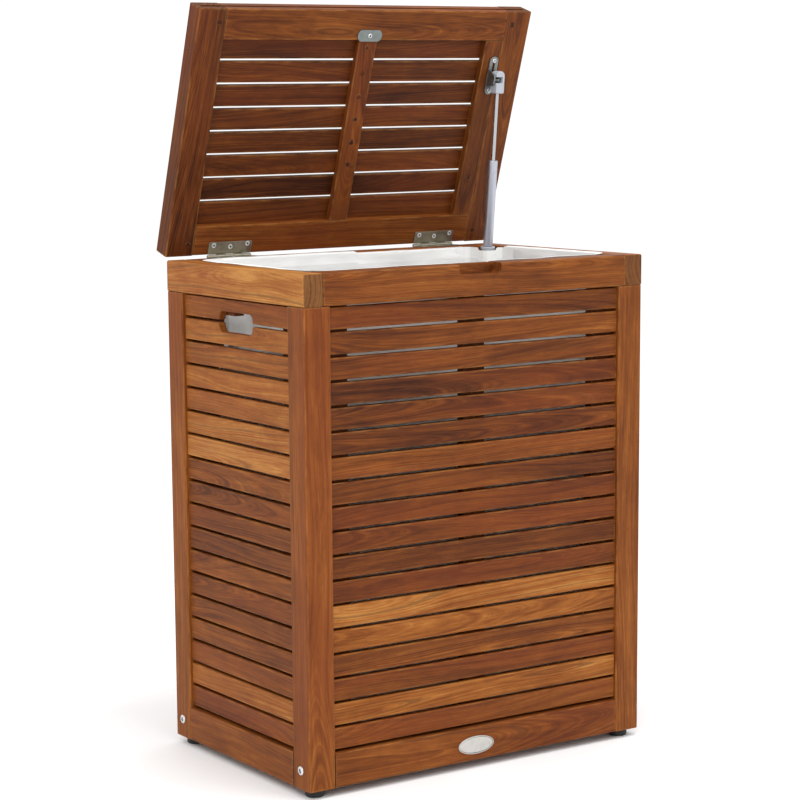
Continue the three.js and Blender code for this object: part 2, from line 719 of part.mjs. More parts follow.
function makeClip(name) {
  const half = SOCKET_SIZE / 2 + 1;
  const room = boxBetween([-half, -half, -BALL_CAVITY], [BALL_CAVITY, BALL_CAVITY, SOCKET_NOSE - 4]);
  return meshOf(name, geometryOf(socketBlock().subtract(solidOf(room))), plastic(GREY_PLASTIC));
}

function makeRod(name) {
  const length = ROD_EXPOSED + ROD_INSIDE;
  const geometry = new THREE.CylinderGeometry(ROD_RADIUS, ROD_RADIUS, length, 16);
  geometry.rotateX(Math.PI / 2);
  geometry.translate(0, 0, -SOCKET_TAIL - JOINT_GAP - length / 2);
  return meshOf(name, geometry, metal(ZINC, 0.25));
}

// The cylinder is a tube with a closed foot and a guide at its mouth that the rod runs through.
function makeCylinder(name, topZ, footZ) {
  const bore = CYLINDER_RADIUS - CYLINDER_WALL;
  const guide = ROD_RADIUS + 0.4;
  const profile = [
    new THREE.Vector2(0, footZ),
    new THREE.Vector2(CYLINDER_RADIUS, footZ),
    new THREE.Vector2(CYLINDER_RADIUS, topZ),
    new THREE.Vector2(guide, topZ),
    new THREE.Vector2(guide, topZ - 8),
    new THREE.Vector2(bore, topZ - 8),
    new THREE.Vector2(bore, footZ + 4),
    new THREE.Vector2(0, footZ + 4),
  ];
  const geometry = new THREE.LatheGeometry(profile, 24);
  geometry.rotateX(Math.PI / 2);
  return meshOf(name, geometry, metal(GREY_PLASTIC, 0.35));
}

// The foot socket is a socket block turned nose down, with a flange under the cylinder. It is
// open towards the rail and to the front, because its pivot is the one that is left open.
function makeFootSocket(name, footZ) {
  const half = SOCKET_SIZE / 2 + 1;
  const room = boxBetween(
    [-half, -half, -SOCKET_TAIL + 8], [BALL_CAVITY, BALL_CAVITY, BALL_CAVITY],
  );
  const flange = new THREE.CylinderGeometry(FLANGE_RADIUS, FLANGE_RADIUS, FLANGE_HEIGHT, 32);
  flange.rotateX(Math.PI / 2);
  flange.translate(0, 0, -SOCKET_TAIL + FLANGE_HEIGHT / 2);
  const geometry = geometryOf(socketBlock().subtract(solidOf(room)).add(solidOf(flange)));
  geometry.rotateY(Math.PI);
  const mesh = meshOf(name, geometry, plastic(GREY_PLASTIC));
  mesh.position.z = footZ;
  return mesh;
}

// ---------------------------------------------------------------- assembly

function makeBody() {
  const body = new THREE.Group();
  const sides = [['left', -1], ['right', 1]];
  const ends = [['front', -1], ['back', 1]];
  for (const [endName, end] of ends) {
    for (const [sideName, side] of sides) {
      body.add(makePost(`post_${endName}_${sideName}`, side, end));
      body.add(makeFoot(`foot_${endName}_${sideName}`, side, end));
      body.add(makeBolt(`bolt_${endName}_${sideName}`, side, end));
    }
    body.add(makeLongBottomRail(`bottom_rail_${endName}`, end));
    body.add(makeCollarEndRail(`collar_rail_${endName}`, end));
    body.add(makeWidePanel(`slat_panel_${endName}`, end));
  }
  for (const [sideName, side] of sides) {
    body.add(makeShortBottomRail(`bottom_rail_${sideName}`, side));
    body.add(makeCollarSideRail(`collar_rail_${sideName}`, side));
    body.add(makeSidePanel(`slat_panel_${sideName}`, side));
  }
  body.add(makeFloorDeck('floor_deck'));
  body.add(makeBadge('badge_plate'));
  body.add(makeBag('laundry_bag'));
  body.add(makeMagneticCatch('magnetic_catch'));
  body.add(makeBodyBracket('strut_body_bracket'));
  return body;
}

function makeHinges(lid) {
  const fixed = new THREE.Group();
  fixed.position.set(0, HINGE_Y, HINGE_Z);
  for (const [sideName, side] of [['left', -1], ['right', 1]]) {
    fixed.add(makeHingeLeaf(`hinge_${sideName}_body_leaf`, side * HINGE_X, false));
    fixed.add(makeHingePin(`hinge_${sideName}_pin`, side * HINGE_X));
    lid.add(makeHingeLeaf(`hinge_${sideName}_lid_leaf`, side * HINGE_X, true));
  }
  return fixed;
}

function makeLid() {
  const lid = new THREE.Group();
  lid.position.set(0, HINGE_Y, HINGE_Z);
  lid.rotation.x = -LID_OPEN_ANGLE;
  lid.add(makeLidStile('lid_stile_left', -1));
  lid.add(makeLidStile('lid_stile_right', 1));
  lid.add(makeLidRail('lid_rail_back', 0));
  lid.add(makeLidRail('lid_rail_front', LID_REACH - LID_MEMBER));
  for (let index = 0; index < LID_SLAT_COUNT; index += 1) {
    lid.add(makeLidSlat(`lid_slat_${index + 1}`, index));
  }
  const strutBattenX = LID_WIDTH / 2 - LID_MEMBER - JOINT_GAP - LID_BATTEN_WIDTH / 2;
  lid.add(makeLidBatten('lid_batten_centre', 0));
  lid.add(makeLidBatten('lid_batten_strut', strutBattenX));
  lid.add(makeStrikePlate('strike_plate'));
  lid.add(makeLidBracket('strut_lid_bracket'));
  return lid;
}

// The strut hangs from the lid bracket's ball to the body bracket's ball.
function makeStrut() {
  const ballRise = LID_UNDERSIDE - STRUT_BALL_DROP;
  const pinToBall = new THREE.Vector3(0, -HINGE_PIN_SETBACK - STRUT_BALL_REACH, ballRise);
  pinToBall.applyAxisAngle(new THREE.Vector3(1, 0, 0), -LID_OPEN_ANGLE);
  const top = new THREE.Vector3(STRUT_X, HINGE_Y + pinToBall.y, HINGE_Z + pinToBall.z);
  const foot = new THREE.Vector3(STRUT_X, STRUT_FOOT_Y, COLLAR_TOP - STRUT_FOOT_DROP);
  const length = top.distanceTo(foot);
  const strut = new THREE.Group();
  strut.position.copy(top);
  strut.rotation.x = Math.atan2(foot.y - top.y, top.z - foot.z);
  strut.add(makeClip('strut_clip'));
  strut.add(makeRod('strut_rod'));
  const cylinderTop = -SOCKET_TAIL - ROD_EXPOSED;
  const cylinderFoot = -length + SOCKET_TAIL + JOINT_GAP;
  strut.add(makeCylinder('strut_cylinder', cylinderTop, cylinderFoot));
  strut.add(makeFootSocket('strut_foot_socket', -length));
  return strut;
}

const hamper = new THREE.Group();
const lid = makeLid();
hamper.add(makeBody());
hamper.add(makeHinges(lid));
hamper.add(lid);
hamper.add(makeStrut());
hamper.position.y = CENTRE_SHIFT;

export default hamper;
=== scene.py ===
"""Looks for a slatted teak laundry hamper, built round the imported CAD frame.

Every size is in metres. The cabinet's pieces are made in the row frame. The lid's pieces are made
with the lid closed and then turned open about its hinge, and the strut's about its upper ball.
"""
import json
import math
import random

import bmesh
import bpy
import numpy as np
from mathutils import Matrix, Vector, noise


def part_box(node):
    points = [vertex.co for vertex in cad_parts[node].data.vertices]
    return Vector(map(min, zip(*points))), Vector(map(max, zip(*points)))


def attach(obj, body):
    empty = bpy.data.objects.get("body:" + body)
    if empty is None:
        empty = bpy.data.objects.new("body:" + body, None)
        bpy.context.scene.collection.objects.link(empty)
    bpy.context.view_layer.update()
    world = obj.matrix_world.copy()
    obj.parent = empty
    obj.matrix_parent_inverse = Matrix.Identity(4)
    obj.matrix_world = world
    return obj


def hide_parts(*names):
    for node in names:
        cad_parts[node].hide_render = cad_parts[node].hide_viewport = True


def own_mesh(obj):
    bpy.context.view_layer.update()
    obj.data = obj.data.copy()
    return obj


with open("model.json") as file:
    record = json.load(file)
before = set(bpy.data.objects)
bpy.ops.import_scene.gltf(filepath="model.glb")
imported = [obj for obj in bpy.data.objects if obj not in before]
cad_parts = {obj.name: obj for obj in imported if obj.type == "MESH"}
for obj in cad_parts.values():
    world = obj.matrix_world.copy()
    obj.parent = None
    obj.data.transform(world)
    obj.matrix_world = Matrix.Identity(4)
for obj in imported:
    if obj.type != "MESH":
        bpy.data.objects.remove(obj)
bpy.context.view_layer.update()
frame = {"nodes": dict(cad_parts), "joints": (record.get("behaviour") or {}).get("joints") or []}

DICE = random.Random(11)

# ------------------------------------------------------------------ places from the frame


def joint(name):
    return next(entry for entry in frame["joints"] if entry["name"] == name)


PIVOT = Vector(joint("lid_hinge")["pos_m"])
OPEN_ANGLE = math.radians(max(joint("lid_hinge")["range_deg"]))
BALL = Vector(joint("strut_pivot")["pos_m"])
STRUT_UP = Vector(joint("strut_slide")["axis"])
STAY = Matrix.Identity(4)
DOWN = Matrix.Rotation(math.pi, 4, "X")
TO_LEFT = Matrix.Rotation(-math.pi / 2, 4, "Y")
TO_RIGHT = Matrix.Rotation(math.pi / 2, 4, "Y")
TO_FRONT = Matrix.Rotation(math.pi / 2, 4, "X")
LID = Matrix.Translation(PIVOT) @ Matrix.Rotation(-OPEN_ANGLE, 4, "X") @ Matrix.Translation(-PIVOT)
STRUT = Matrix.Translation(BALL) @ Matrix.Rotation(math.atan2(-STRUT_UP.y, STRUT_UP.z), 4, "X")


def box_in(node, place):
    """The lowest and highest corner of a CAD node in the turned frame that place turns out of."""
    back = place.inverted()
    points = [back @ vertex.co for vertex in frame["nodes"][node].data.vertices]
    low = Vector([min(point[axis] for point in points) for axis in range(3)])
    high = Vector([max(point[axis] for point in points) for axis in range(3)])
    return low, high


COLLAR_LOW, COLLAR_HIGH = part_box("collar_rail_left")
COLLAR_TOP = COLLAR_HIGH.z
BODY_MID_Y = (COLLAR_LOW.y + COLLAR_HIGH.y) / 2
INNER_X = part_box("collar_rail_right")[0].x
INNER_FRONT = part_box("collar_rail_front")[1].y
INNER_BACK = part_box("collar_rail_back")[0].y

# ------------------------------------------------------------------ shapes: points and faces


def shape_of(mesh):
    """The points and faces of a bmesh, which is freed."""
    mesh.verts.index_update()
    points = np.array([vertex.co for vertex in mesh.verts], float).reshape(-1, 3)
    faces = [tuple(vertex.index for vertex in face.verts) for face in mesh.faces]
    mesh.free()
    return points, faces


def bmesh_of(shape):
    mesh = bmesh.new()
    verts = [mesh.verts.new(point) for point in shape[0]]
    for face in shape[1]:
        mesh.faces.new([verts[index] for index in face])
    return mesh


def soften(shape, radius, segments=2, angle=50):
    """The shape with every edge sharper than an angle rounded off."""
    mesh = bmesh_of(shape)
    bmesh.ops.recalc_face_normals(mesh, faces=mesh.faces)
    sharp = [edge for edge in mesh.edges if edge.calc_face_angle(0) > math.radians(angle)]
    bmesh.ops.bevel(mesh, geom=sharp, offset=radius, segments=segments, profile=0.5,
                    affect="EDGES", clamp_overlap=True)
    return shape_of(mesh)


def moved(shape, matrix):
    points, faces = shape
    turn = np.array(matrix.to_3x3())
    return points @ turn.T + np.array(matrix.to_translation()), faces


def joined(*shapes):
    points, faces, count = [], [], 0
    for part_points, part_faces in shapes:
        points.append(part_points)
        faces.extend(tuple(index + count for index in face) for face in part_faces)
        count += len(part_points)
    return np.concatenate(points), faces


def arc(centre, radius, start, finish, steps=4):
    """Points on an arc between two angles in quarter turns."""
    angles = [(start + (finish - start) * step / steps) * math.pi / 2 for step in range(steps + 1)]
    return [(centre[0] + radius * math.cos(a), centre[1] + radius * math.sin(a)) for a in angles]


def rounded(width, height, radius, steps=4):
    """A rectangle round the origin, with round corners of one radius or of four."""
    radii = radius if isinstance(radius, tuple) else (radius,) * 4
    outline = []
    for start, (x, y), r in zip((-1, 0, 1, 2), ((1, -1), (1, 1), (-1, 1), (-1, -1)), radii):
        centre = (x * (width / 2 - r), y * (height / 2 - r))
        outline += arc(centre, r, start, start + 1, steps)
    return outline


def band(first, second, count):
    """Faces between two closed rings of points, from the number that each ring starts with."""
    steps = [(step, (step + 1) % count) for step in range(count)]
    return [(first + step, second + step, second + after, first + after) for step, after in steps]


def fan(tip, ring, count):
    """Faces between one point and a closed ring of points."""
    return [(tip, ring + step, ring + (step + 1) % count) for step in range(count)]


def prism(outline, length, edge=0.0004, segments=1):
    """An outline in X and Y drawn out along Z from 0, with its sharp edges rounded."""
    count = len(outline)
    points = [(x, y, 0) for x, y in outline] + [(x, y, length) for x, y in outline]
    sides = [(i, (i + 1) % count, (i + 1) % count + count, i + count) for i in range(count)]
    faces = [tuple(range(count - 1, -1, -1)), tuple(range(count, 2 * count))] + sides
    shape = np.array(points, float), faces
    return soften(shape, edge, segments) if edge else shape


def rod(radius, length, edge=0.0003, steps=20, segments=1):
    """A round rod that stands on z = 0. Steps are for each whole turn."""
    return prism(arc((0, 0), radius, 0, 4, steps)[:-1], length, edge, segments)


def unit_ring(steps):
    turns = [2 * math.pi * step / steps for step in range(steps)]
    return [(math.cos(turn), math.sin(turn)) for turn in turns]


def lathe(profile, steps=32):
    """A profile of radius and height, from the axis below to the axis above, turned about Z."""
    ring = unit_ring(steps)
    points = [(0, 0, profile[0][1])]
    for radius, height in profile[1:-1]:
        points.extend((radius * x, radius * y, height) for x, y in ring)
    points.append((0, 0, profile[-1][1]))
    last = len(points) - 1
    faces = [face[::-1] for face in fan(0, 1, steps)] + fan(last, last - steps, steps)
    for base in range(1, last - steps, steps):
        faces += band(base + steps, base, steps)
    return np.array(points, float), faces


def carved(shape, cutter):
    """What is left of one closed shape when another is cut out of it."""
    base = plain_object("carve_base", shape)
    tool = plain_object("carve_tool", cutter)
    cut = base.modifiers.new("carve", "BOOLEAN")
    cut.operation = "DIFFERENCE"
    cut.solver = "EXACT"
    cut.object = tool
    bpy.context.view_layer.update()
    graph = bpy.context.evaluated_depsgraph_get()
    result = base.evaluated_get(graph).to_mesh()
    points = np.array([vertex.co for vertex in result.vertices], float).reshape(-1, 3)
    faces = [tuple(face.vertices) for face in result.polygons]
    bpy.data.objects.remove(base)
    bpy.data.objects.remove(tool)
    return points, faces


def plain_object(name, shape):
    mesh = bpy.data.meshes.new(name)
    mesh.from_pydata([tuple(point) for point in shape[0]], [], shape[1])
    thing = bpy.data.objects.new(name, mesh)
    bpy.context.scene.collection.objects.link(thing)
    return thing


def finish_piece(thing, body, material, replaced=(), sharp=40):
    """Shading, finish and body for a piece."""
    thing.data.shade_smooth()
    thing.data.set_sharp_from_angle(angle=math.radians(sharp))
    weighted = thing.modifiers.new("flat_faces", "WEIGHTED_NORMAL")
    weighted.keep_sharp = True
    thing.data.materials.append(material)
    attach(thing, body)
    if replaced:
        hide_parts(*replaced)
    return thing


def piece(name, shape, place, body, material, replaced=()):
    thing = plain_object(name, moved(shape, place))
    return finish_piece(thing, body, material, replaced)


# ------------------------------------------------------------------ wooden boards


def board_part(shape, low, high, along, tone):
    """A board: its shape, and what its grain needs. Grain runs along one axis of its box."""
    low, high = Vector(low), Vector(high)
    size, middle = high - low, (low + high) / 2
    wide, thin = sorted((axis for axis in range(3) if axis != along), key=lambda axis: -size[axis])
    order = [wide, thin, along]
    place = (shape[0] - np.array(middle))[:, order]
    seed = (DICE.uniform(-0.05, 0.05), DICE.uniform(0.02, 0.09) * DICE.choice((-1, 1)), DICE.uniform(-9, 9))
    return {"shape": shape, "place": place, "half": [size[axis] / 2 for axis in order],
            "seed": seed, "tone": tone}


def board_shape(low, high, along, long_edge=0.003, end_edge=0.0005):
    """A board in its box. Its long edges have one radius, or four, and its ends another."""
    low, high = Vector(low), Vector(high)
    size, middle = high - low, (low + high) / 2
    first, second = (along + 1) % 3, (along + 2) % 3
    outline = rounded(size[first], size[second], long_edge, 3)
    points, faces = prism(outline, size[along], end_edge)
    turned = np.zeros_like(points)
    turned[:, first] = points[:, 0]
    turned[:, second] = points[:, 1]
    turned[:, along] = points[:, 2] - size[along] / 2
    return turned + np.array(middle), faces


def board(low, high, along, tone, long_edge=0.003, end_edge=0.0005):
    return board_part(board_shape(low, high, along, long_edge, end_edge), low, high, along, tone)


def wooden(name, parts, place, body, replaced=()):
    """One piece made of boards, with the grain's own coordinates stored on its points."""
    shape = joined(*[part["shape"] for part in parts])
    thing = plain_object(name, moved(shape, place))
    rows = {"place": [], "half": [], "seed": []}
    tones = []
    for part in parts:
        count = len(part["shape"][0])
        rows["place"].append(part["place"])
        rows["half"].append(np.tile(part["half"], (count, 1)))
        rows["seed"].append(np.tile(part["seed"], (count, 1)))
        tones.append(np.full(count, part["tone"]))
    for key, values in rows.items():
        attribute = thing.data.attributes.new(key, "FLOAT_VECTOR", "POINT")
        attribute.data.foreach_set("vector", np.concatenate(values).astype(np.float32).ravel())
    attribute = thing.data.attributes.new("tone", "FLOAT", "POINT")
    attribute.data.foreach_set("value", np.concatenate(tones).astype(np.float32))
    return finish_piece(thing, body, TEAK, replaced)


def board_node(node, along, tone, long_edge=0.003, end_edge=0.0005, place=STAY, body="cabinet"):
    """A CAD node whose box is one plain board."""
    low, high = box_in(node, place)
    wooden(f"teak_{node}", [board(low, high, along, tone, long_edge, end_edge)], place, body, [node])


# ------------------------------------------------------------------ materials


def new_material(name, roughness, metallic=0.0):
    material = bpy.data.materials.new(name)
    material.use_nodes = True
    tree = material.node_tree
    tree.nodes.clear()
    output = tree.nodes.new("ShaderNodeOutputMaterial")
    shader = tree.nodes.new("ShaderNodeBsdfPrincipled")
    shader.inputs["Roughness"].default_value = roughness
    shader.inputs["Metallic"].default_value = metallic
    tree.links.new(shader.outputs["BSDF"], output.inputs["Surface"])
    return material, tree, shader


def feed(tree, socket, value):
    """Links a socket to another, or sets it to a number, vector or colour."""
    if isinstance(value, bpy.types.NodeSocket):
        tree.links.new(value, socket)
    else:
        socket.default_value = value


def maths(tree, operation, *values):
    node = tree.nodes.new("ShaderNodeMath")
    node.operation = operation
    for index, value in enumerate(values):
        feed(tree, node.inputs[index], value)
    return node.outputs[0]


def times(tree, first, second):
    return maths(tree, "MULTIPLY", first, second)


def plus(tree, first, second):
    return maths(tree, "ADD", first, second)


def minus(tree, first, second):
    return maths(tree, "SUBTRACT", first, second)


def vectors(tree, operation, *values):
    node = tree.nodes.new("ShaderNodeVectorMath")
    node.operation = operation
    for index, value in enumerate(values):
        feed(tree, node.inputs[index], value)
    return node.outputs["Value"] if operation in ("LENGTH", "DOT_PRODUCT") else node.outputs[0]


def attribute(tree, name, output="Vector"):
    node = tree.nodes.new("ShaderNodeAttribute")
    node.attribute_name = name
    return node.outputs[output]


def object_place(tree):
    return tree.nodes.new("ShaderNodeTexCoord").outputs["Object"]


def split(tree, vector):
    node = tree.nodes.new("ShaderNodeSeparateXYZ")
    feed(tree, node.inputs[0], vector)
    return node.outputs[0], node.outputs[1], node.outputs[2]


def join_xyz(tree, x, y, z):
    node = tree.nodes.new("ShaderNodeCombineXYZ")
    for index, value in enumerate((x, y, z)):
        feed(tree, node.inputs[index], value)
    return node.outputs[0]


def noise_at(tree, vector, stretch, detail=2.0, rough=0.5, distortion=0.0, output="Fac"):
    """Noise over a vector that is stretched first: bigger numbers make finer noise."""
    node = tree.nodes.new("ShaderNodeTexNoise")
    node.inputs["Scale"].default_value = 1.0
    node.inputs["Detail"].default_value = detail
    node.inputs["Roughness"].default_value = rough
    node.inputs["Distortion"].default_value = distortion
    feed(tree, node.inputs["Vector"], vectors(tree, "MULTIPLY", vector, stretch))
    return node.outputs[output]


def noise_along(tree, value, detail=2.0, rough=0.5):
    """Noise that changes with one number."""
    node = tree.nodes.new("ShaderNodeTexNoise")
    node.noise_dimensions = "1D"
    node.inputs["Scale"].default_value = 1.0
    node.inputs["Detail"].default_value = detail
    node.inputs["Roughness"].default_value = rough
    feed(tree, node.inputs["W"], value)
    return node.outputs["Fac"]


def remap(tree, value, from_low, from_high, to_low=0.0, to_high=1.0):
    node = tree.nodes.new("ShaderNodeMapRange")
    node.interpolation_type = "SMOOTHSTEP"
    for index, number in enumerate((value, from_low, from_high, to_low, to_high)):
        feed(tree, node.inputs[index], number)
    return node.outputs[0]


def linear(red, green, blue):
    """A colour given as 0 to 255 screen values, as the shader's own linear values."""
    values = [channel / 255 for channel in (red, green, blue)]
    return [v / 12.92 if v <= 0.04045 else ((v + 0.055) / 1.055) ** 2.4 for v in values] + [1.0]


def ramp(tree, factor, stops):
    node = tree.nodes.new("ShaderNodeValToRGB")
    feed(tree, node.inputs[0], factor)
    elements = node.color_ramp.elements
    while len(elements) < len(stops):
        elements.new(0.5)
    for element, (position, colour) in zip(elements, stops):
        element.position = position
        element.color = colour
    return node.outputs["Color"]


def mix(tree, factor, first, second):
    node = tree.nodes.new("ShaderNodeMix")
    node.data_type = "RGBA"
    feed(tree, node.inputs[0], factor)
    feed(tree, node.inputs[6], first)
    feed(tree, node.inputs[7], second)
    return node.outputs[2]


def bump(tree, shader, height, strength, distance):
    node = tree.nodes.new("ShaderNodeBump")
    node.inputs["Strength"].default_value = strength
    node.inputs["Distance"].default_value = distance
    feed(tree, node.inputs["Height"], height)
    tree.links.new(node.outputs["Normal"], shader.inputs["Normal"])


def make_teak():
    """Oiled teak. Growth rings run round a pith beside each board, wandering along the grain."""
    material, tree, shader = new_material("teak", 0.5)
    local = attribute(tree, "place")
    half = attribute(tree, "half")
    tone = attribute(tree, "tone", "Fac")
    grain = vectors(tree, "ADD", local, attribute(tree, "seed"))

    drift = noise_at(tree, grain, (5, 5, 1.5), 2, 0.4, output="Color")
    wander = vectors(tree, "SUBTRACT", drift, (0.5, 0.5, 0.5))
    bent = vectors(tree, "ADD", grain, vectors(tree, "MULTIPLY", wander, (0.07, 0.05, 0)))
    across, deep, along = split(tree, bent)
    from_pith = vectors(tree, "LENGTH", join_xyz(tree, across, deep, 0))
    tapered = plus(tree, from_pith, times(tree, along, 0.02))
    rings = noise_along(tree, times(tree, tapered, 230), 4, 0.65)
    lines = remap(tree, rings, 0.55, 0.66)
    hairs = noise_along(tree, times(tree, tapered, 900), 3, 0.7)

    patches = noise_at(tree, grain, (16, 16, 5.0), 4, 0.6, 0.5)
    streaks = noise_at(tree, bent, (130, 130, 5.0), 3, 0.6)
    fibre = noise_at(tree, bent, (620, 620, 18), 3, 0.65)
    pores = noise_at(tree, bent, (1300, 1300, 60), 2, 0.5)
    pits = remap(tree, pores, 0.58, 0.7)
    ripple = noise_at(tree, grain, (70, 70, 40), 2, 0.5, 0.6)

    shade = tone
    for pattern, amount in ((patches, 0.6), (rings, 0.75), (hairs, 0.5), (streaks, 0.5), (fibre, 0.5),
                            (ripple, 0.14)):
        centred = minus(tree, pattern, 0.5)
        shade = plus(tree, shade, times(tree, centred, amount))
    colour = ramp(tree, shade, [
        (0.0, linear(54, 22, 6)),
        (0.25, linear(89, 43, 12)),
        (0.5, linear(122, 65, 20)),
        (0.75, linear(152, 90, 35)),
        (1.0, linear(186, 129, 64)),
    ])
    colour = mix(tree, times(tree, lines, 0.5), colour, linear(60, 27, 11))
    redder = noise_at(tree, grain, (11, 11, 2.0), 2)
    colour = mix(tree, remap(tree, redder, 0.45, 0.7, 0, 0.3), colour, linear(128, 58, 24))
    colour = mix(tree, times(tree, pits, 0.3), colour, linear(56, 27, 14))

    inside = vectors(tree, "SUBTRACT", half, vectors(tree, "ABSOLUTE", local))
    gap_x, gap_y, gap_z = split(tree, inside)
    total = plus(tree, plus(tree, gap_x, gap_y), gap_z)
    largest = maths(tree, "MAXIMUM", maths(tree, "MAXIMUM", gap_x, gap_y), gap_z)
    smallest = maths(tree, "MINIMUM", maths(tree, "MINIMUM", gap_x, gap_y), gap_z)
    rim = minus(tree, minus(tree, total, largest), smallest)
    scuffs = noise_at(tree, grain, (220, 220, 40), 2)
    worn = times(tree, remap(tree, rim, 0.0004, 0.0032, 1, 0), remap(tree, scuffs, 0.35, 0.7))
    colour = mix(tree, times(tree, worn, 0.28), colour, linear(196, 140, 76))
    end_grain = remap(tree, gap_z, 0.0002, 0.0009, 1, 0)
    cut_rings = mix(tree, remap(tree, rings, 0.35, 0.62), linear(64, 39, 24), linear(102, 66, 40))
    colour = mix(tree, times(tree, end_grain, 0.75), colour, cut_rings)
    tree.links.new(colour, shader.inputs["Base Color"])

    gloss = plus(tree, times(tree, fibre, 0.25), 0.42)
    gloss = plus(tree, gloss, times(tree, end_grain, 0.2))
    tree.links.new(gloss, shader.inputs["Roughness"])
    shader.inputs["Specular IOR Level"].default_value = 0.15
    height = minus(tree, times(tree, fibre, 0.6), pits)
    height = minus(tree, height, times(tree, lines, 0.3))
    bump(tree, shader, height, 0.3, 0.0003)
    return material


def make_metal(name, colour, roughness, brushed=(900, 60, 900), stain=0.3):
    """Plated or brushed metal, with fine scratches and dull patches, and painted shade near black deep in
    recesses.
    """
    material, tree, shader = new_material(name, roughness, 1.0)
    place = object_place(tree)
    scratches = noise_at(tree, place, brushed, 3, 0.6)
    patches = noise_at(tree, place, (90, 90, 90), 3, 0.6)
    dull = [channel * 0.62 for channel in colour[:3]] + [1.0]
    tint = mix(tree, times(tree, remap(tree, patches, 0.4, 0.75), stain), colour, dull)
    # Painted shade: points deep in a screw's cross, a hex socket or the badge's groove are painted near
    # black.
    tint = mix(tree, attribute(tree, "recess_shade", "Fac"), tint, linear(22, 21, 20))
    tree.links.new(tint, shader.inputs["Base Color"])
    rough = plus(tree, times(tree, scratches, 0.22), roughness - 0.11)
    rough = plus(tree, rough, times(tree, patches, 0.1))
    tree.links.new(rough, shader.inputs["Roughness"])
    bump(tree, shader, scratches, 0.2, 0.0001)
    return material


def make_plastic(name, colour, roughness, speckle=0.08):
    """Moulded plastic or rubber with a fine grained skin."""
    material, tree, shader = new_material(name, roughness)
    place = object_place(tree)
    skin = noise_at(tree, place, (1400, 1400, 1400), 2)
    patches = noise_at(tree, place, (60, 60, 60), 3)
    darker = [channel * (1 - 3 * speckle) for channel in colour[:3]] + [1.0]
    tint = mix(tree, times(tree, patches, 0.6), colour, darker)
    tree.links.new(tint, shader.inputs["Base Color"])
    tree.links.new(plus(tree, times(tree, skin, 0.16), roughness - 0.08),
                   shader.inputs["Roughness"])
    bump(tree, shader, skin, 0.15, 0.0001)
    return material


def make_cotton():
    """Off-white plain weave with a two-layer, stitched hem, painted whiter for its two layers and as a
    painted highlight on its lit fold. Near the top, some light comes through it.
    """
    material, tree, shader = new_material("cotton", 0.92)
    along, rise, clear = split(tree, attribute(tree, "cloth"))
    threads = 2 * math.pi / 0.0011
    warp = maths(tree, "SINE", times(tree, along, threads))
    weft = maths(tree, "SINE", times(tree, rise, threads))
    weave = times(tree, warp, weft)
    flat = join_xyz(tree, along, rise, 0)
    slubs = noise_at(tree, flat, (90, 1400, 1), 3, 0.6)
    patches = noise_at(tree, flat, (14, 14, 1), 3, 0.6)
    tint = ramp(tree, plus(tree, times(tree, patches, 0.6), times(tree, slubs, 0.4)), [
        (0.2, linear(224, 224, 221)),
        (0.5, linear(238, 238, 236)),
        (0.8, linear(246, 246, 244)),
    ])
    # The hem is painted whiter: partly for its two layers of cloth, partly as a painted highlight for the
    # light on its fold.
    hem_doubling_and_highlight = remap(tree, rise, HEM_DEPTH - 0.001, HEM_DEPTH + 0.001, 0.7, 0)
    tint = mix(tree, hem_doubling_and_highlight, tint, linear(254, 254, 252))
    below = maths(tree, "ABSOLUTE", minus(tree, rise, HEM_DEPTH))
    seam = remap(tree, below, 0.0004, 0.0012, 1, 0)
    dashes = maths(tree, "SINE", times(tree, along, 2 * math.pi / 0.0034))
    stitches = times(tree, seam, remap(tree, dashes, -0.5, 0.1))
    tint = mix(tree, times(tree, seam, 0.12), tint, linear(205, 203, 196))
    tree.links.new(tint, shader.inputs["Base Color"])
    shader.inputs["Sheen Weight"].default_value = 0.2
    height = plus(tree, times(tree, weave, 0.4), slubs)
    height = plus(tree, height, times(tree, stitches, 1.5))
    height = minus(tree, height, times(tree, seam, 0.8))
    creases = noise_at(tree, flat, (14, 55, 1), 2, 0.5, 0.6)
    height = plus(tree, height, times(tree, creases, 9))
    bump(tree, shader, height, 0.35, 0.0004)
    through = tree.nodes.new("ShaderNodeBsdfTranslucent")
    tree.links.new(tint, through.inputs["Color"])
    both = tree.nodes.new("ShaderNodeMixShader")
    single = remap(tree, rise, 0.04, 0.065, 0.08, 0.75)
    lit = times(tree, single, clear)
    tree.links.new(lit, both.inputs[0])
    tree.links.new(shader.outputs["BSDF"], both.inputs[1])
    tree.links.new(through.outputs["BSDF"], both.inputs[2])
    output = next(node for node in tree.nodes if node.type == "OUTPUT_MATERIAL")
    tree.links.new(both.outputs[0], output.inputs["Surface"])
    return material


HEM_DEPTH = 0.022
TEAK = make_teak()
NICKEL = make_metal("nickel", linear(160, 154, 138), 0.36, stain=0.7)
STAINLESS = make_metal("stainless", linear(222, 222, 224), 0.28, (600, 600, 600), 0.2)
BRIGHT = make_metal("bright_zinc", linear(244, 244, 246), 0.5, (600, 600, 600), 0.05)
ZINC = make_metal("zinc", linear(132, 138, 136), 0.42, (500, 500, 120), 0.4)
BADGE = make_metal("badge", linear(205, 204, 200), 0.36, (120, 900, 900))
POLISHED = make_metal("polished", linear(190, 191, 194), 0.2, (900, 900, 90), 0.1)
SILVER = make_metal("silver_paint", linear(194, 197, 208), 0.36, (300, 300, 300), 0.08)
CLIP = make_plastic("clip_plastic", linear(174, 178, 186), 0.4, 0.03)
RUBBER = make_plastic("black_rubber", linear(30, 30, 31), 0.7)
CATCH = make_plastic("black_plastic", linear(34, 34, 36), 0.45)
COTTON = make_cotton()

# ------------------------------------------------------------------ cabinet frame

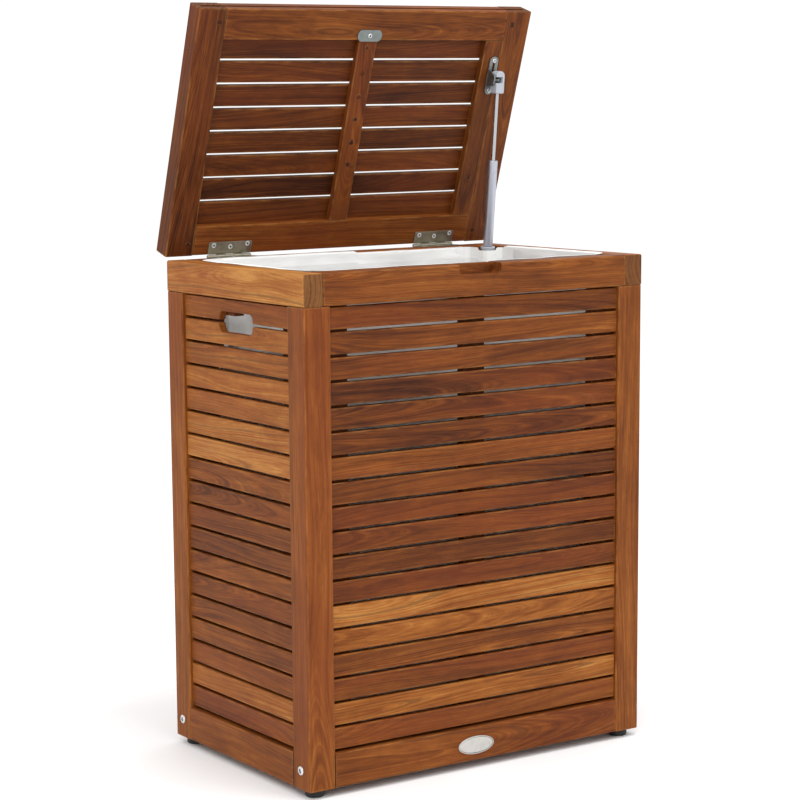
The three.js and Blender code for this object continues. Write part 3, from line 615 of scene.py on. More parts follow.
SIDES = ("left", "right")
ENDS = ("front", "back")
CORNERS = [f"{end}_{side}" for end in ENDS for side in SIDES]
POST_EDGE = 0.0034
RAIL_EDGE = 0.0028
FLUSH_EDGE = 0.0006
END_EDGE = 0.0012
TIGHT_EDGE = 0.0003


def make_posts():
    for corner, tone in zip(CORNERS, (0.52, 0.5, 0.56, 0.56)):
        board_node(f"post_{corner}", 2, tone, POST_EDGE)


def make_bottom_rails():
    for name, tone in zip(ENDS + SIDES, (0.46, 0.5, 0.5, 0.5)):
        board_node(f"bottom_rail_{name}", 0 if name in ENDS else 1, tone, RAIL_EDGE)


def finger_notch():
    """A shallow scoop in the top of the front rail, open to the front."""
    width, drop, depth, corner, past_face = 0.074, 0.0155, 0.020, 0.008, 0.004
    cutter = prism(rounded(width, 2 * drop, corner, 6), depth + past_face, 0)
    return moved(cutter, Matrix.Translation((0, COLLAR_LOW.y + depth, COLLAR_TOP)) @ TO_FRONT)


def make_collar():
    for side, tone in zip(SIDES, (0.86, 0.66)):
        board_node(f"collar_rail_{side}", 1, tone, RAIL_EDGE, END_EDGE)
    low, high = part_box("collar_rail_front")
    shape = carved(board_shape(low, high, 0, RAIL_EDGE, FLUSH_EDGE), finger_notch())
    front = board_part(soften(shape, 0.0009, 2, 60), low, high, 0, 0.46)
    wooden("teak_collar_rail_front", [front], STAY, "cabinet", ["collar_rail_front"])
    board_node("collar_rail_back", 0, 0.5, RAIL_EDGE, FLUSH_EDGE)


# ------------------------------------------------------------------ slatted panels

SLAT_COUNT = 18
SLAT_PITCH = 0.035
SLAT_HEIGHT = 0.031
SLAT_RECESS = 0.005
SLAT_THICKNESS = 0.012
SLAT_EDGE = 0.0022
CLEAT_WIDTH = 0.038
PANEL_DEPTH = 0.032
HOLE_WIDTH = 0.092
HOLE_HEIGHT = 0.030
HOLE_CORNER = 0.010
HOLE_BLOCK = 0.020
HOLE_BLOCK_DROP = 0.027

# Tones from the lowest slat to the highest, from dark to light.
FRONT_TONES = (0.46, 0.66, 0.38, 0.46, 0.6, 0.74, 0.26, 0.34, 0.3,
               0.26, 0.34, 0.44, 0.3, 0.3, 0.22, 0.34, 0.4, 0.36)
LEFT_TONES = (0.44, 0.7, 0.46, 0.46, 0.46, 0.38, 0.48, 0.36, 0.4,
              0.4, 0.56, 0.86, 0.68, 0.62, 0.7, 0.6, 0.72, 0.52)


def notched_slat(length, base, upper):
    """A slat with half of the hand hole cut out of its lower or upper edge."""
    x, z = length / 2, SLAT_HEIGHT / 2
    depth = (HOLE_HEIGHT - (SLAT_PITCH - SLAT_HEIGHT)) / 2
    wide, corner = HOLE_WIDTH / 2, HOLE_CORNER
    outline = [(x, -z), (x, z), (wide, z)]
    outline += arc((wide - corner, z - depth + corner), corner, 0, -1, 6)
    outline += arc((-wide + corner, z - depth + corner), corner, -1, -2, 6)
    outline += [(-wide, z), (-x, z), (-x, -z)]
    if upper:
        outline = [(px, -pz) for px, pz in reversed(outline)]
    shape = prism(outline, SLAT_THICKNESS, 0.0018, 2)
    middle = (0, SLAT_RECESS + SLAT_THICKNESS, base + SLAT_HEIGHT / 2)
    return moved(shape, Matrix.Translation(middle) @ TO_FRONT)


def panel_parts(length, base_z, tones, with_hole):
    """The slats of a panel whose outside faces -Y at y = 0, centred on x = 0. None sits quite true."""
    parts = []
    first = base_z + SLAT_PITCH - SLAT_HEIGHT
    for index in range(SLAT_COUNT):
        low = Vector((-length / 2, SLAT_RECESS, first + index * SLAT_PITCH))
        high = low + Vector((length, SLAT_THICKNESS, SLAT_HEIGHT))
        if with_hole and index >= SLAT_COUNT - 2:
            shape = notched_slat(length, low.z, index == SLAT_COUNT - 1)
        else:
            shape = board_shape(low, high, 0, SLAT_EDGE)
        shape = moved(shape, Matrix.Translation((0, DICE.uniform(-0.0003, 0.0003), 0)))
        parts.append(board_part(shape, low, high, 0, tones[index]))
    return parts


def cleat(start_x, base_z, top_z):
    low = (start_x, SLAT_RECESS + SLAT_THICKNESS, base_z)
    high = (start_x + CLEAT_WIDTH, PANEL_DEPTH, top_z)
    return board(low, high, 2, 0.3, 0.001)


def make_panel(name, turn, length, shift, tones, middle_cleats):
    node = f"slat_panel_{name}"
    low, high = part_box(node)
    stand = Matrix.Translation(shift) @ Matrix.Rotation(turn, 4, "Z")
    parts = panel_parts(length, low.z, tones, name in SIDES)
    wooden(f"teak_slats_{name}", parts, stand, "cabinet", [node])
    cleats = [cleat(-length / 2, low.z, high.z), cleat(length / 2 - CLEAT_WIDTH, low.z, high.z)]
    cleats += [cleat(x, base if base else low.z, high.z) for x, base in middle_cleats]
    wooden(f"teak_cleats_{name}", cleats, stand, "cabinet", [node])


def make_panels():
    front_low, front_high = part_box("slat_panel_front")
    left_low, left_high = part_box("slat_panel_left")
    wide, deep = front_high.x - front_low.x, left_high.y - left_low.y
    half_x, half_y = COLLAR_LOW.x, (COLLAR_HIGH.y - COLLAR_LOW.y) / 2
    block = left_high.z - HOLE_BLOCK_DROP
    centre = [(-CLEAT_WIDTH / 2, None)]
    back_tones = [DICE.uniform(0.2, 0.8) for _ in range(SLAT_COUNT)]
    right_tones = [DICE.uniform(0.2, 0.85) for _ in range(SLAT_COUNT)]
    make_panel("front", 0, wide, (0, BODY_MID_Y - half_y, 0), FRONT_TONES, centre)
    make_panel("back", math.pi, wide, (0, BODY_MID_Y + half_y, 0), back_tones, centre)
    make_panel("left", -math.pi / 2, deep, (half_x, BODY_MID_Y, 0), LEFT_TONES,
               [(-HOLE_BLOCK - CLEAT_WIDTH, block)])
    make_panel("right", math.pi / 2, deep, (-half_x, BODY_MID_Y, 0), right_tones, [(HOLE_BLOCK, block)])


def make_deck():
    """The slatted floor under the bag: two bearers and the slats across them."""
    low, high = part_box("floor_deck")
    bearer, slat, thick, count = 0.020, 0.060, 0.012, 7
    parts = []
    for y in (low.y, high.y - bearer):
        parts.append(board((low.x, y, low.z), (high.x, y + bearer, high.z - thick), 0, 0.6, 0.001))
    pitch = (high.x - low.x - slat) / (count - 1)
    for index in range(count):
        x = low.x + index * pitch
        parts.append(board((x, low.y, high.z - thick), (x + slat, high.y, high.z), 1,
                           DICE.uniform(0.5, 0.8), 0.0015))
    wooden("teak_floor_deck", parts, STAY, "cabinet", ["floor_deck"])


# ------------------------------------------------------------------ lid

LID_SLAT_SHOW = 0.001
# The lid slats' tones are kept low, partly for their own colour and partly as painted shade on the lid's
# underside.
LID_TONES_WITH_SHADE = (0.3, 0.12, 0.28, 0.22, 0.24, 0.2, 0.22, 0.2)
PLUG_RADIUS = 0.0044
PLUG_LENGTH = 0.004
PLUG_PROUD = 0.0003
PLUG_TONE = -0.5
STILE_PLUGS_X = (-0.264, 0.266)
STILE_PLUGS_FROM_BACK = (0.019, 0.359)
BATTEN_PLUG_FROM_BACK = 0.109


def lid_box(node):
    return box_in(node, LID)


def pull_groove():
    """The shallow groove along the lid's front edge."""
    depth, rise, height, margin = 0.003, 0.0095, 0.007, 0.008
    stile_low, stile_high = lid_box("lid_stile_left")[0], lid_box("lid_stile_right")[1]
    start = (stile_low.x + margin, stile_low.y - 0.004, stile_low.z + rise)
    finish = (stile_high.x - margin, stile_low.y + depth, stile_low.z + rise + height)
    return board_shape(start, finish, 0, 0.0012, 0)


def make_lid_frame():
    members = {
        "lid_stile_left": (0.24, 1, (RAIL_EDGE, FLUSH_EDGE, FLUSH_EDGE, RAIL_EDGE)),
        "lid_stile_right": (0.4, 1, (FLUSH_EDGE, RAIL_EDGE, RAIL_EDGE, FLUSH_EDGE)),
        "lid_rail_front": (0.38, 0, (FLUSH_EDGE, FLUSH_EDGE, RAIL_EDGE, RAIL_EDGE)),
        "lid_rail_back": (0.5, 0, (RAIL_EDGE, RAIL_EDGE, FLUSH_EDGE, FLUSH_EDGE)),
    }
    for node, (tone, along, edges) in members.items():
        low, high = lid_box(node)
        shape = board_shape(low, high, along, edges, TIGHT_EDGE if along == 0 else END_EDGE)
        if node != "lid_rail_back":
            shape = soften(carved(shape, pull_groove()), 0.0002, 1, 70)
        part = board_part(shape, low, high, along, tone)
        wooden(f"teak_{node}", [part], LID, "lid", [node])


def make_lid_slats():
    inner_left = lid_box("lid_stile_left")[1].x - LID_SLAT_SHOW
    inner_right = lid_box("lid_stile_right")[0].x + LID_SLAT_SHOW
    for index, tone in enumerate(LID_TONES_WITH_SHADE):
        node = f"lid_slat_{index + 1}"
        low, high = lid_box(node)
        low.x, high.x = inner_left, inner_right
        slat = board(low, high, 0, tone, 0.0012)
        wooden(f"teak_{node}", [slat], LID, "lid", [node])


def make_lid_battens():
    for name, tone, edge in (("centre", 0.34, 0.0014), ("strut", 0.38, FLUSH_EDGE)):
        board_node(f"lid_batten_{name}", 1, tone, edge, TIGHT_EDGE, LID, "lid")


def make_plugs():
    """Short dowels that close the screw holes in the lid, standing a hair proud of it."""
    underside = lid_box("lid_rail_front")[0].z
    back = lid_box("lid_stile_left")[1].y
    places = []
    for index in range(3, 9):
        low, high = lid_box(f"lid_slat_{index}")
        places.append((0.0, (low.y + high.y) / 2))
    low, high = lid_box("lid_batten_strut")
    places.append(((low.x + high.x) / 2, back - BATTEN_PLUG_FROM_BACK))
    places += [(x, back - inset) for x in STILE_PLUGS_X for inset in STILE_PLUGS_FROM_BACK]
    parts = []
    base = underside - PLUG_PROUD
    for x, y in places:
        plug = moved(rod(PLUG_RADIUS, PLUG_LENGTH), Matrix.Translation((x, y, base)))
        low = (x - PLUG_RADIUS, y - PLUG_RADIUS, base)
        high = (x + PLUG_RADIUS, y + PLUG_RADIUS, base + PLUG_LENGTH)
        parts.append(board_part(plug, low, high, 0, PLUG_TONE))
    wooden("teak_lid_plugs", parts, LID, "lid")


# ------------------------------------------------------------------ screws, bolts and small metal


def recessed_head(radius, height, recess, rings=14, steps=48, crown=0.55):
    """A head that stands on z = 0, and how deep in its recess each point is, from 0 to 1, for the painted
    shade there.

    A function gives the recess's depth at a place. The crown is the domed share of the height.
    """
    points, pits = [(0, 0, height - recess(0, 0))], [1.0 if recess(0, 0) else 0.0]
    deepest = max(recess(0, 0), 1e-9)
    for ring in range(1, rings + 1):
        share = ring / rings
        dome = height * (1 - crown + crown * math.sqrt(max(0, 1 - share ** 3)))
        for across, up in unit_ring(steps):
            x, y = radius * share * across, radius * share * up
            points.append((x, y, dome - recess(x, y)))
            pits.append(recess(x, y) / deepest)
    rim = len(points)
    points += [(x, y, 0) for x, y, _ in points[-steps:]]
    points.append((0, 0, 0))
    pits += [0.0] * (steps + 1)
    faces = fan(0, 1, steps) + [face[::-1] for face in fan(len(points) - 1, rim, steps)]
    for base in range(1, rim, steps):
        faces += band(base, base + steps, steps)
    return (np.array(points, float), faces), pits


def cross_recess(radius, depth):
    def recess(x, y):
        short, long = sorted((abs(x), abs(y)))
        inside = min(1 - short / (0.2 * radius), 1 - long / (0.66 * radius))
        return depth * max(0, min(1, 2.5 * inside))
    return recess


def hex_recess(across, depth):
    def recess(x, y):
        reach = max(abs(x * math.cos(a) + y * math.sin(a)) for a in (0, math.pi / 3, 2 * math.pi / 3))
        return depth * max(0, min(1, 8 * (1 - reach / across)))
    return recess


# A sunk head's height, and how much of it stands out of its hole.
SUNK_HEAD = 0.00105
SUNK_PROUD = 0.00012


def paint_recess_shade(thing, pits):
    """Stores how deep in a recess each point is, which the metal paints darker as painted shade. Points
    after the last given one are in none.
    """
    values = np.zeros(len(thing.data.vertices), np.float32)
    values[:len(pits)] = pits
    thing.data.attributes.new("recess_shade", "FLOAT", "POINT").data.foreach_set("value", values)


def screws(name, places, radius, facing, place, body, sunk=False):
    """Cross-head screws at places, all pointing the same way, with their crosses turned at random."""
    shapes, pits = [], []
    height, crown = (SUNK_HEAD, 0.45) if sunk else (radius * 0.42, 0.55)
    for spot in places:
        recess = cross_recess(radius, radius * (0.22 if sunk else 0.5))
        head, depth = recessed_head(radius, height, recess, crown=crown)
        turn = Matrix.Rotation(DICE.uniform(-0.4, 0.4), 4, "Z")
        shapes.append(moved(head, Matrix.Translation(spot) @ facing @ turn))
        pits += depth
    paint_recess_shade(piece(name, joined(*shapes), place, body, BRIGHT if sunk else STAINLESS), pits)


# The hinge screws' radius, and their places from the hinge's middle and the pin.
HINGE_SCREW = 0.0039
HINGE_SCREW_PLACES = ((-0.029, 0.0175), (0.0003, 0.0146), (0.03, 0.0185))


def hinge_leaf(name, centre_x, is_lid):
    """A leaf with round corners and its share of the five knuckles, about the hinge pin."""
    node = f"hinge_{name}_{'lid' if is_lid else 'body'}_leaf"
    place = LID if is_lid else STAY
    low, high = box_in(node, place)
    knuckle, thick, count, apart, slack = 0.003, 0.0012, 5, 0.00015, 0.0004
    length, edge_y = high.x - low.x, PIVOT.y - knuckle - slack
    base_z = PIVOT.z + (apart if is_lid else -apart - thick)
    sunk, past_face = SUNK_HEAD - SUNK_PROUD, 0.0001
    hole_z = base_z - past_face if is_lid else base_z + thick - sunk
    leaf = prism(rounded(length, edge_y - low.y, 0.0022), thick, 0.0002)
    leaf = moved(leaf, Matrix.Translation((centre_x, (low.y + edge_y) / 2, base_z)))
    hole = rod(HINGE_SCREW + 0.0002, sunk + past_face, 0, 32)
    for x, y in HINGE_SCREW_PLACES:
        leaf = carved(leaf, moved(hole, Matrix.Translation((centre_x + x, PIVOT.y - y, hole_z))))
    shapes = [leaf]
    step = length / count
    for index in range(count):
        if (index % 2 == 1) == is_lid:
            start = low.x + index * step + slack / 2
            barrel_place = Matrix.Translation((start, PIVOT.y, PIVOT.z)) @ TO_RIGHT
            barrel = moved(rod(knuckle, step - slack), barrel_place)
            web_low = Vector((start, PIVOT.y - knuckle - 0.002, base_z))
            web_high = Vector((start + step - slack, PIVOT.y, base_z + thick))
            shapes += [barrel, board_shape(web_low, web_high, 0, 0.0002, 0)]
    piece(f"nickel_{node}", joined(*shapes), place, "lid" if is_lid else "cabinet",
          NICKEL, [node])
    return base_z if is_lid else base_z + thick


def make_hinges():
    for name in SIDES:
        low, high = box_in(f"hinge_{name}_lid_leaf", LID)
        centre_x = (low.x + high.x) / 2
        for is_lid in (True, False):
            face = hinge_leaf(name, centre_x, is_lid)
            body = "lid" if is_lid else "cabinet"
            facing, place = (DOWN, LID) if is_lid else (STAY, STAY)
            seat = face + (SUNK_HEAD - SUNK_PROUD) * (1 if is_lid else -1)
            places = [(centre_x + x, PIVOT.y - y, seat) for x, y in HINGE_SCREW_PLACES]
            screws(f"screws_hinge_{name}_{body}", places, HINGE_SCREW, facing, place, body, sunk=True)
        low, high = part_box(f"hinge_{name}_pin")
        radius = (high.z - low.z) / 2
        pin = rod(radius, high.x - low.x, 0.0004, segments=2)
        pin = moved(pin, Matrix.Translation((low.x, PIVOT.y, PIVOT.z)) @ TO_RIGHT)
        piece(f"nickel_hinge_{name}_pin", pin, STAY, "cabinet", NICKEL, [f"hinge_{name}_pin"])


def make_bolts():
    """Hex socket bolts through the posts, with round heads."""
    for corner in CORNERS:
        node = f"bolt_{corner}"
        low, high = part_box(node)
        on_left = corner.endswith("left")
        head, pits = recessed_head((high.z - low.z) / 2, 0.0026, hex_recess(0.0032, 0.0022), 18)
        centre = (COLLAR_LOW.x if on_left else -COLLAR_LOW.x, (low.y + high.y) / 2, (low.z + high.z) / 2)
        length = high.x - low.x
        shank = moved(rod(0.003, length - 0.004, steps=16), Matrix.Translation((0, 0, 0.0045 - length)))
        place = Matrix.Translation(centre) @ (TO_LEFT if on_left else TO_RIGHT)
        bolt = piece(f"steel_{node}", joined(head, shank), place, "cabinet", STAINLESS, [node])
        paint_recess_shade(bolt, pits)


def make_feet():
    """Round feet with a rolled lower edge."""
    roll, edge = 0.003, 0.0006
    for corner in CORNERS:
        node = f"foot_{corner}"
        low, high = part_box(node)
        radius, height = (high.x - low.x) / 2, high.z - low.z
        profile = [(0, 0), (radius * 0.62, 0)] + arc((radius - roll, roll), roll, -1, 0)
        profile += [(radius, height - edge), (radius - edge, height), (0, height)]
        centre = ((low.x + high.x) / 2, (low.y + high.y) / 2, low.z)
        piece(f"rubber_{node}", lathe(profile, 48), Matrix.Translation(centre), "cabinet",
              RUBBER, [node])


def make_badge():
    """A blank oval plate with a raised rim and a rivet at each end."""
    low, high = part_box("badge_plate")
    wide, tall, thick = (high.x - low.x) / 2, (high.z - low.z) / 2, high.y - low.y
    steps = 72
    # Each ring's share of the way out, its share of the thickness, and whether it is in the groove, which
    # is painted dark as painted shade.
    rings = ((0.6, 0.64, 0), (0.83, 0.62, 0), (0.855, 0.4, 1), (0.875, 0.4, 1), (0.89, 0.9, 0),
             (0.93, 1.0, 0), (0.97, 0.9, 0), (1.0, 0.55, 0), (1.0, 0, 0))
    points, pits = [(0, 0, 0.62 * thick)], [0]
    for share, rise, recess_shade in rings:
        inset = (1 - share) * tall
        points += [((wide - inset) * x, (tall - inset) * y, rise * thick) for x, y in unit_ring(steps)]
        pits += [recess_shade] * steps
    points.append((0, 0, 0))
    pits.append(0)
    last = len(points) - 1
    faces = fan(0, 1, steps) + [face[::-1] for face in fan(last, last - steps, steps)]
    for base in range(1, last - steps, steps):
        faces += band(base, base + steps, steps)
    stand = Matrix.Translation(((low.x + high.x) / 2, high.y, (low.z + high.z) / 2)) @ TO_FRONT
    rivets = [moved(recessed_head(0.0017, 0.0009, lambda x, y: 0, 6, 24)[0],
                    Matrix.Translation((x, 0, 0.0006))) for x in (-0.74 * wide, 0.74 * wide)]
    badge = piece("plain_badge_plate", joined((np.array(points, float), faces), *rivets), stand,
                  "cabinet", BADGE, ["badge_plate"])
    paint_recess_shade(badge, pits)


def make_catch():
    """The strike plate with its screw, and the magnetic catch that it meets."""
    low, high = lid_box("strike_plate")
    centre = ((low.x + high.x) / 2, (low.y + high.y) / 2)
    plate = prism(rounded(high.x - low.x, high.y - low.y, 0.0084, 8), high.z - low.z, 0.0005, 2)
    plate = moved(plate, Matrix.Translation((*centre, low.z)))
    piece("zinc_strike_plate", plate, LID, "lid", ZINC, ["strike_plate"])
    screws("screw_strike_plate", [(*centre, low.z + 0.0002)], 0.0036, DOWN, LID, "lid")
    low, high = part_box("magnetic_catch")
    case = board_shape(low, high, 0, 0.0018, 0.0012)
    piece("black_magnetic_catch", case, STAY, "cabinet", CATCH, ["magnetic_catch"])
    margin, thick, deep, proud = 0.007, 0.0018, 0.006, 0.0008
    poles = [board_shape((low.x + margin, y, high.z - deep), (high.x - margin, y + thick, high.z + proud),
                         0, TIGHT_EDGE, 0) for y in (low.y + 0.005, low.y + 0.011)]
    piece("catch_poles", joined(*poles), STAY, "cabinet", ZINC)


# ------------------------------------------------------------------ strut

SOCKET = 0.016
SOCKET_TAIL = 0.021
SOCKET_NOSE = 0.014
BALL_RADIUS = 0.004
STUD_RADIUS = 0.0024
BRACKET_THICKNESS = 0.002
HEAD_LIFT = 0.0002


def socket_block():
    """A socket block about its ball: a round nose above, and a square tail below."""
    half, corner = SOCKET / 2, 0.0022
    outline = arc((half - corner, -SOCKET_TAIL + corner), corner, -1, 0)
    outline += arc((0, SOCKET_NOSE - half), half, 0, 2, 12)
    outline += arc((-half + corner, -SOCKET_TAIL + corner), corner, 2, 3)
    block = prism(outline, SOCKET, 0.0018, 3)
    return moved(block, Matrix.Translation((0, half, 0)) @ TO_FRONT)


def ball_shape(radius=BALL_RADIUS):
    steps = 12
    turns = [math.pi * step / steps for step in range(1, steps)]
    profile = [(radius * math.sin(turn), -radius * math.cos(turn)) for turn in turns]
    return lathe([(0, -radius)] + profile + [(0, radius)], 24)


def make_clip():
    """The plastic clip at the strut's top: a socket with a window, and the stub of its pin."""
    half = SOCKET / 2 + 0.002
    window = board_shape((-half, -half, -0.0046), (0.0036, 0.0056, 0.0048), 2, 0.0008, 0)
    clip = carved(carved(socket_block(), window), ball_shape(BALL_RADIUS + 0.0004))
    clip = soften(clip, 0.0004, 2, 60)
    stub = lathe([(0, 0), (0.0032, 0), (0.0032, 0.0022), (0.0026, 0.003), (0, 0.003)], 20)
    clip = joined(clip, moved(stub, Matrix.Translation((SOCKET / 2 - 0.0004, 0, 0.002)) @ TO_RIGHT))
    piece("clip_strut", clip, STRUT, "strut_rod_end", CLIP, ["strut_clip"])


def make_rod_and_cylinder():
    low, high = box_in("strut_rod", STRUT)
    radius = (high.x - low.x) / 2
    rod = lathe([(0, low.z), (radius - 0.0004, low.z), (radius, low.z + 0.0004),
                 (radius, high.z - 0.0002), (0, high.z)], 32)
    piece("polished_strut_rod", rod, STRUT, "strut_rod_end", POLISHED, ["strut_rod"])

    low, high = box_in("strut_cylinder", STRUT)
    radius, guide, seam = (high.x - low.x) / 2, 0.0034, high.z - 0.018
    profile = [(0, low.z), (radius - 0.0006, low.z), (radius, low.z + 0.0006),
               (radius, seam - 0.0005), (radius - 0.0005, seam), (radius, seam + 0.0005),
               (radius, high.z - 0.0016), (radius - 0.0005, high.z - 0.0005), (radius - 0.0016, high.z),
               (guide + 0.0008, high.z), (guide, high.z - 0.0008), (guide, high.z - 0.008),
               (0, high.z - 0.008)]
    piece("silver_strut_cylinder", lathe(profile, 48), STRUT, "strut_cylinder_end",
          SILVER, ["strut_cylinder"])


def make_foot_socket():
    """The socket on the strut's foot, upside down, with the round flange that the cylinder stands on."""
    low, high = box_in("strut_foot_socket", STRUT)
    foot = Matrix.Translation((0, 0, high.z - SOCKET_TAIL)) @ Matrix.Rotation(math.pi, 4, "Y")
    half, reach = SOCKET / 2 + 0.002, 0.0046
    room = board_shape((-half, -half, -SOCKET_TAIL + 0.008), (reach, reach, reach), 2, 0.0012, 0)
    block = soften(carved(socket_block(), room), 0.0005, 2, 60)
    radius, edge, base, top = (high.x - low.x) / 2, 0.001, -SOCKET_TAIL, -SOCKET_TAIL + 0.0064
    ring = lathe([(0, base)] + arc((radius - edge, base + edge), edge, -1, 0)
                 + [(radius, top - 0.002), (radius - 0.003, top), (0, top)], 48)
    piece("clip_strut_foot", joined(block, ring), STRUT @ foot, "strut_cylinder_end",
          CLIP, ["strut_foot_socket"])


def make_lid_bracket():
    """A slotted oval plate, an ear beside the clip, and the ball on its stud."""
    low, high = lid_box("strut_lid_bracket")
    ear, end_margin = 0.0025, 0.0065
    middle_x, middle_y, plate_z = (low.x + high.x) / 2, (low.y + high.y) / 2, high.z - BRACKET_THICKNESS
    width = high.x - low.x
    ball = LID.inverted() @ BALL
    plate = prism(rounded(width, high.y - low.y, width / 2 - 0.0004, 10), BRACKET_THICKNESS, 0.0003)
    plate = moved(plate, Matrix.Translation((middle_x, middle_y, plate_z)))
    slot = prism(rounded(0.0042, 0.019, 0.002, 6), BRACKET_THICKNESS + 0.002, 0)
    slot = moved(slot, Matrix.Translation((middle_x, middle_y - 0.014, plate_z - 0.001)))
    plate = soften(carved(plate, slot), 0.0002, 1, 60)
    outline = [(ball.y - 0.013, plate_z), (ball.y + 0.013, plate_z)]
    outline += arc((ball.y + 0.004, ball.z - 0.001), 0.005, 0, -1, 5)
    outline += arc((ball.y - 0.004, ball.z - 0.001), 0.005, -1, -2, 5)
    upright = Matrix(((0, 0, 1, low.x), (1, 0, 0, 0), (0, 1, 0, 0), (0, 0, 0, 1)))
    cheek = moved(prism(outline, ear, 0.0003), upright)
    stud = rod(STUD_RADIUS, ball.x - low.x - ear / 2, 0.0002, 16)
    stud = moved(stud, Matrix.Translation((low.x + ear / 2, ball.y, ball.z)) @ TO_RIGHT)
    round_end = moved(ball_shape(), Matrix.Translation(ball))
    piece("zinc_strut_lid_bracket", joined(plate, cheek, stud, round_end), LID, "lid",
          ZINC, ["strut_lid_bracket"])
    places = [(middle_x, y, plate_z + HEAD_LIFT) for y in (low.y + end_margin, high.y - end_margin)]
    screws("screws_strut_lid_bracket", places, 0.0034, DOWN, LID, "lid")


def make_body_bracket():
    """A plate on the collar's inner face, with the foot's ball on its stud."""
    low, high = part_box("strut_body_bracket")
    plate_x, middle_z, end_margin = high.x - BRACKET_THICKNESS, (low.z + high.z) / 2, 0.005
    ball = Vector((BALL.x, (low.y + high.y) / 2, middle_z + 0.001))
    plate = prism(rounded(high.z - low.z, high.y - low.y, 0.004, 6), BRACKET_THICKNESS, 0.0003)
    plate = moved(plate, Matrix.Translation((plate_x, ball.y, middle_z)) @ TO_RIGHT)
    stud = rod(STUD_RADIUS, plate_x + BRACKET_THICKNESS / 2 - ball.x, 0.0002, 16)
    stud = moved(stud, Matrix.Translation(ball) @ TO_RIGHT)
    round_end = moved(ball_shape(), Matrix.Translation(ball))
    piece("zinc_strut_body_bracket", joined(plate, stud, round_end), STAY, "cabinet",
          ZINC, ["strut_body_bracket"])
    places = [(plate_x + HEAD_LIFT, ball.y, z) for z in (high.z - end_margin, low.z + end_margin)]
    screws("screws_strut_body_bracket", places, 0.0032, TO_LEFT, STAY, "cabinet")


# ------------------------------------------------------------------ cloth bag

# The gap is between the bag and the collar. The lap is how far the hem lies out over the collar.
BAG_CORNER = 0.034
BAG_GAP = 0.006
BAG_ROWS = 60
BAG_COLUMNS = 300
BAG_FLOOR_ROWS = 12
BAG_FULLNESS = 0.0075
BAG_SWAY_LIMIT = 0.012
HEM_LEAN = 0.026
HEM_LAP = 0.0045
BACK_LAP_ENDS = 0.05
STRUT_DIP = 0.048
CATCH_DIP = 0.021
CATCH_HALF = 0.025
STRUT_MARGIN = 0.002
STRUT_EASE = 0.008
SIDE_WALL = 0.9
WALL_CLEARANCE = 0.0012
BULGE_KEPT_IN = 0.0045
HAND_BULGE = 0.018
HOLE_MIDDLE_Y = -0.001
HOLE_REACH_Y = 0.025
HEM_ROW = 0.001
HAND_HOLE_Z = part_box("slat_panel_left")[1].z - 0.035
SIM_FRAMES = 24


def smooth(value, low, high):
    share = max(0.0, min(1.0, (value - low) / (high - low)))
    return share * share * (3 - 2 * share)


def bag_path(share, inset):
    """A point and normal on the bag's rounded rectangle, a share of the way round it, and its length."""
    wide = 2 * (INNER_X - inset)
    deep = (INNER_BACK - INNER_FRONT) - 2 * inset
    straights = (wide - 2 * BAG_CORNER, deep - 2 * BAG_CORNER) * 2
    quarter = BAG_CORNER * math.pi / 2
    total = sum(straights) + 4 * quarter
    walked = (share % 1.0) * total
    spot = Vector((-straights[0] / 2, -deep / 2))
    heading = 0.0
    for length in straights:
        ahead = Vector((math.cos(heading), math.sin(heading)))
        outward = Vector((ahead.y, -ahead.x))
        if walked <= length:
            return spot + walked * ahead, outward, total
        walked -= length
        spot = spot + length * ahead
        centre = spot - BAG_CORNER * outward
        if walked <= quarter:
            angle = heading - math.pi / 2 + walked / BAG_CORNER
            normal = Vector((math.cos(angle), math.sin(angle)))
            return centre + BAG_CORNER * normal, normal, total
        walked -= quarter
        heading += math.pi / 2
        spot = centre + BAG_CORNER * ahead
    return spot, outward, total


def near_strut(x, y):
    """How far the strut's foot pushes the bag's rim down at a place on the wall, from 0 to 1."""
    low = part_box("strut_foot_socket")[0]
    near_x, near_y = low.x - STRUT_MARGIN, low.y - STRUT_MARGIN
    return smooth(y + BODY_MID_Y, near_y - STRUT_EASE, near_y) * smooth(x, near_x - STRUT_EASE, near_x)


def near_catch(x, y):
    """How far the rim gives way to the catch in the middle of the front, from 0 to 1."""
    return 1 - smooth(abs(x), CATCH_HALF, CATCH_HALF + 0.01) if y < 0 else 0.0


def hem_lean(x, y):
    """How far the fold of the hem leans in from the left wall: nothing in front, most at the back."""
    deep = (INNER_BACK - INNER_FRONT) / 2
    near_wall = smooth(-x, INNER_X - 0.06, INNER_X - BAG_GAP)
    return HEM_LEAN * max(0.0, (y + deep) / (2 * deep)) ** 1.1 * near_wall


def behind_hand_hole(y, z, reach_z):
    """How close a place on a side wall is to the middle of the hand hole, from 0 to 1."""
    return np.exp(-((y - HOLE_MIDDLE_Y) / HOLE_REACH_Y) ** 2 - ((z - HAND_HOLE_Z) / reach_z) ** 2)


def hand_bulge(spot, normal, z):
    """How far the cloth stands out towards the hand holes in the side panels."""
    return HAND_BULGE * behind_hand_hole(spot.y, z, 0.022) if abs(normal.x) >= SIDE_WALL else 0.0


def light_through(spot, normal, below):
    """How much light the cloth lets through: less lower down, and little at and below the hand holes."""
    if abs(normal.x) < SIDE_WALL:
        return 1 - 0.94 * smooth(below, 0.1, 0.26)
    at_hole = math.exp(-((spot.y - 0.012) / 0.036) ** 4)
    return (1 - 0.98 * smooth(below, 0.105, 0.125)) * (1 - 0.7 * at_hole)


def hem_lap(x, normal):
    """How far the hem lies out over the collar's top."""
    if normal.y > 0.7:
        return HEM_LAP - 0.0075 * smooth(x, -0.02, BACK_LAP_ENDS)
    if normal.y < -0.7:
        return 0.0012
    return HEM_LAP if normal.x < 0 else 0.003


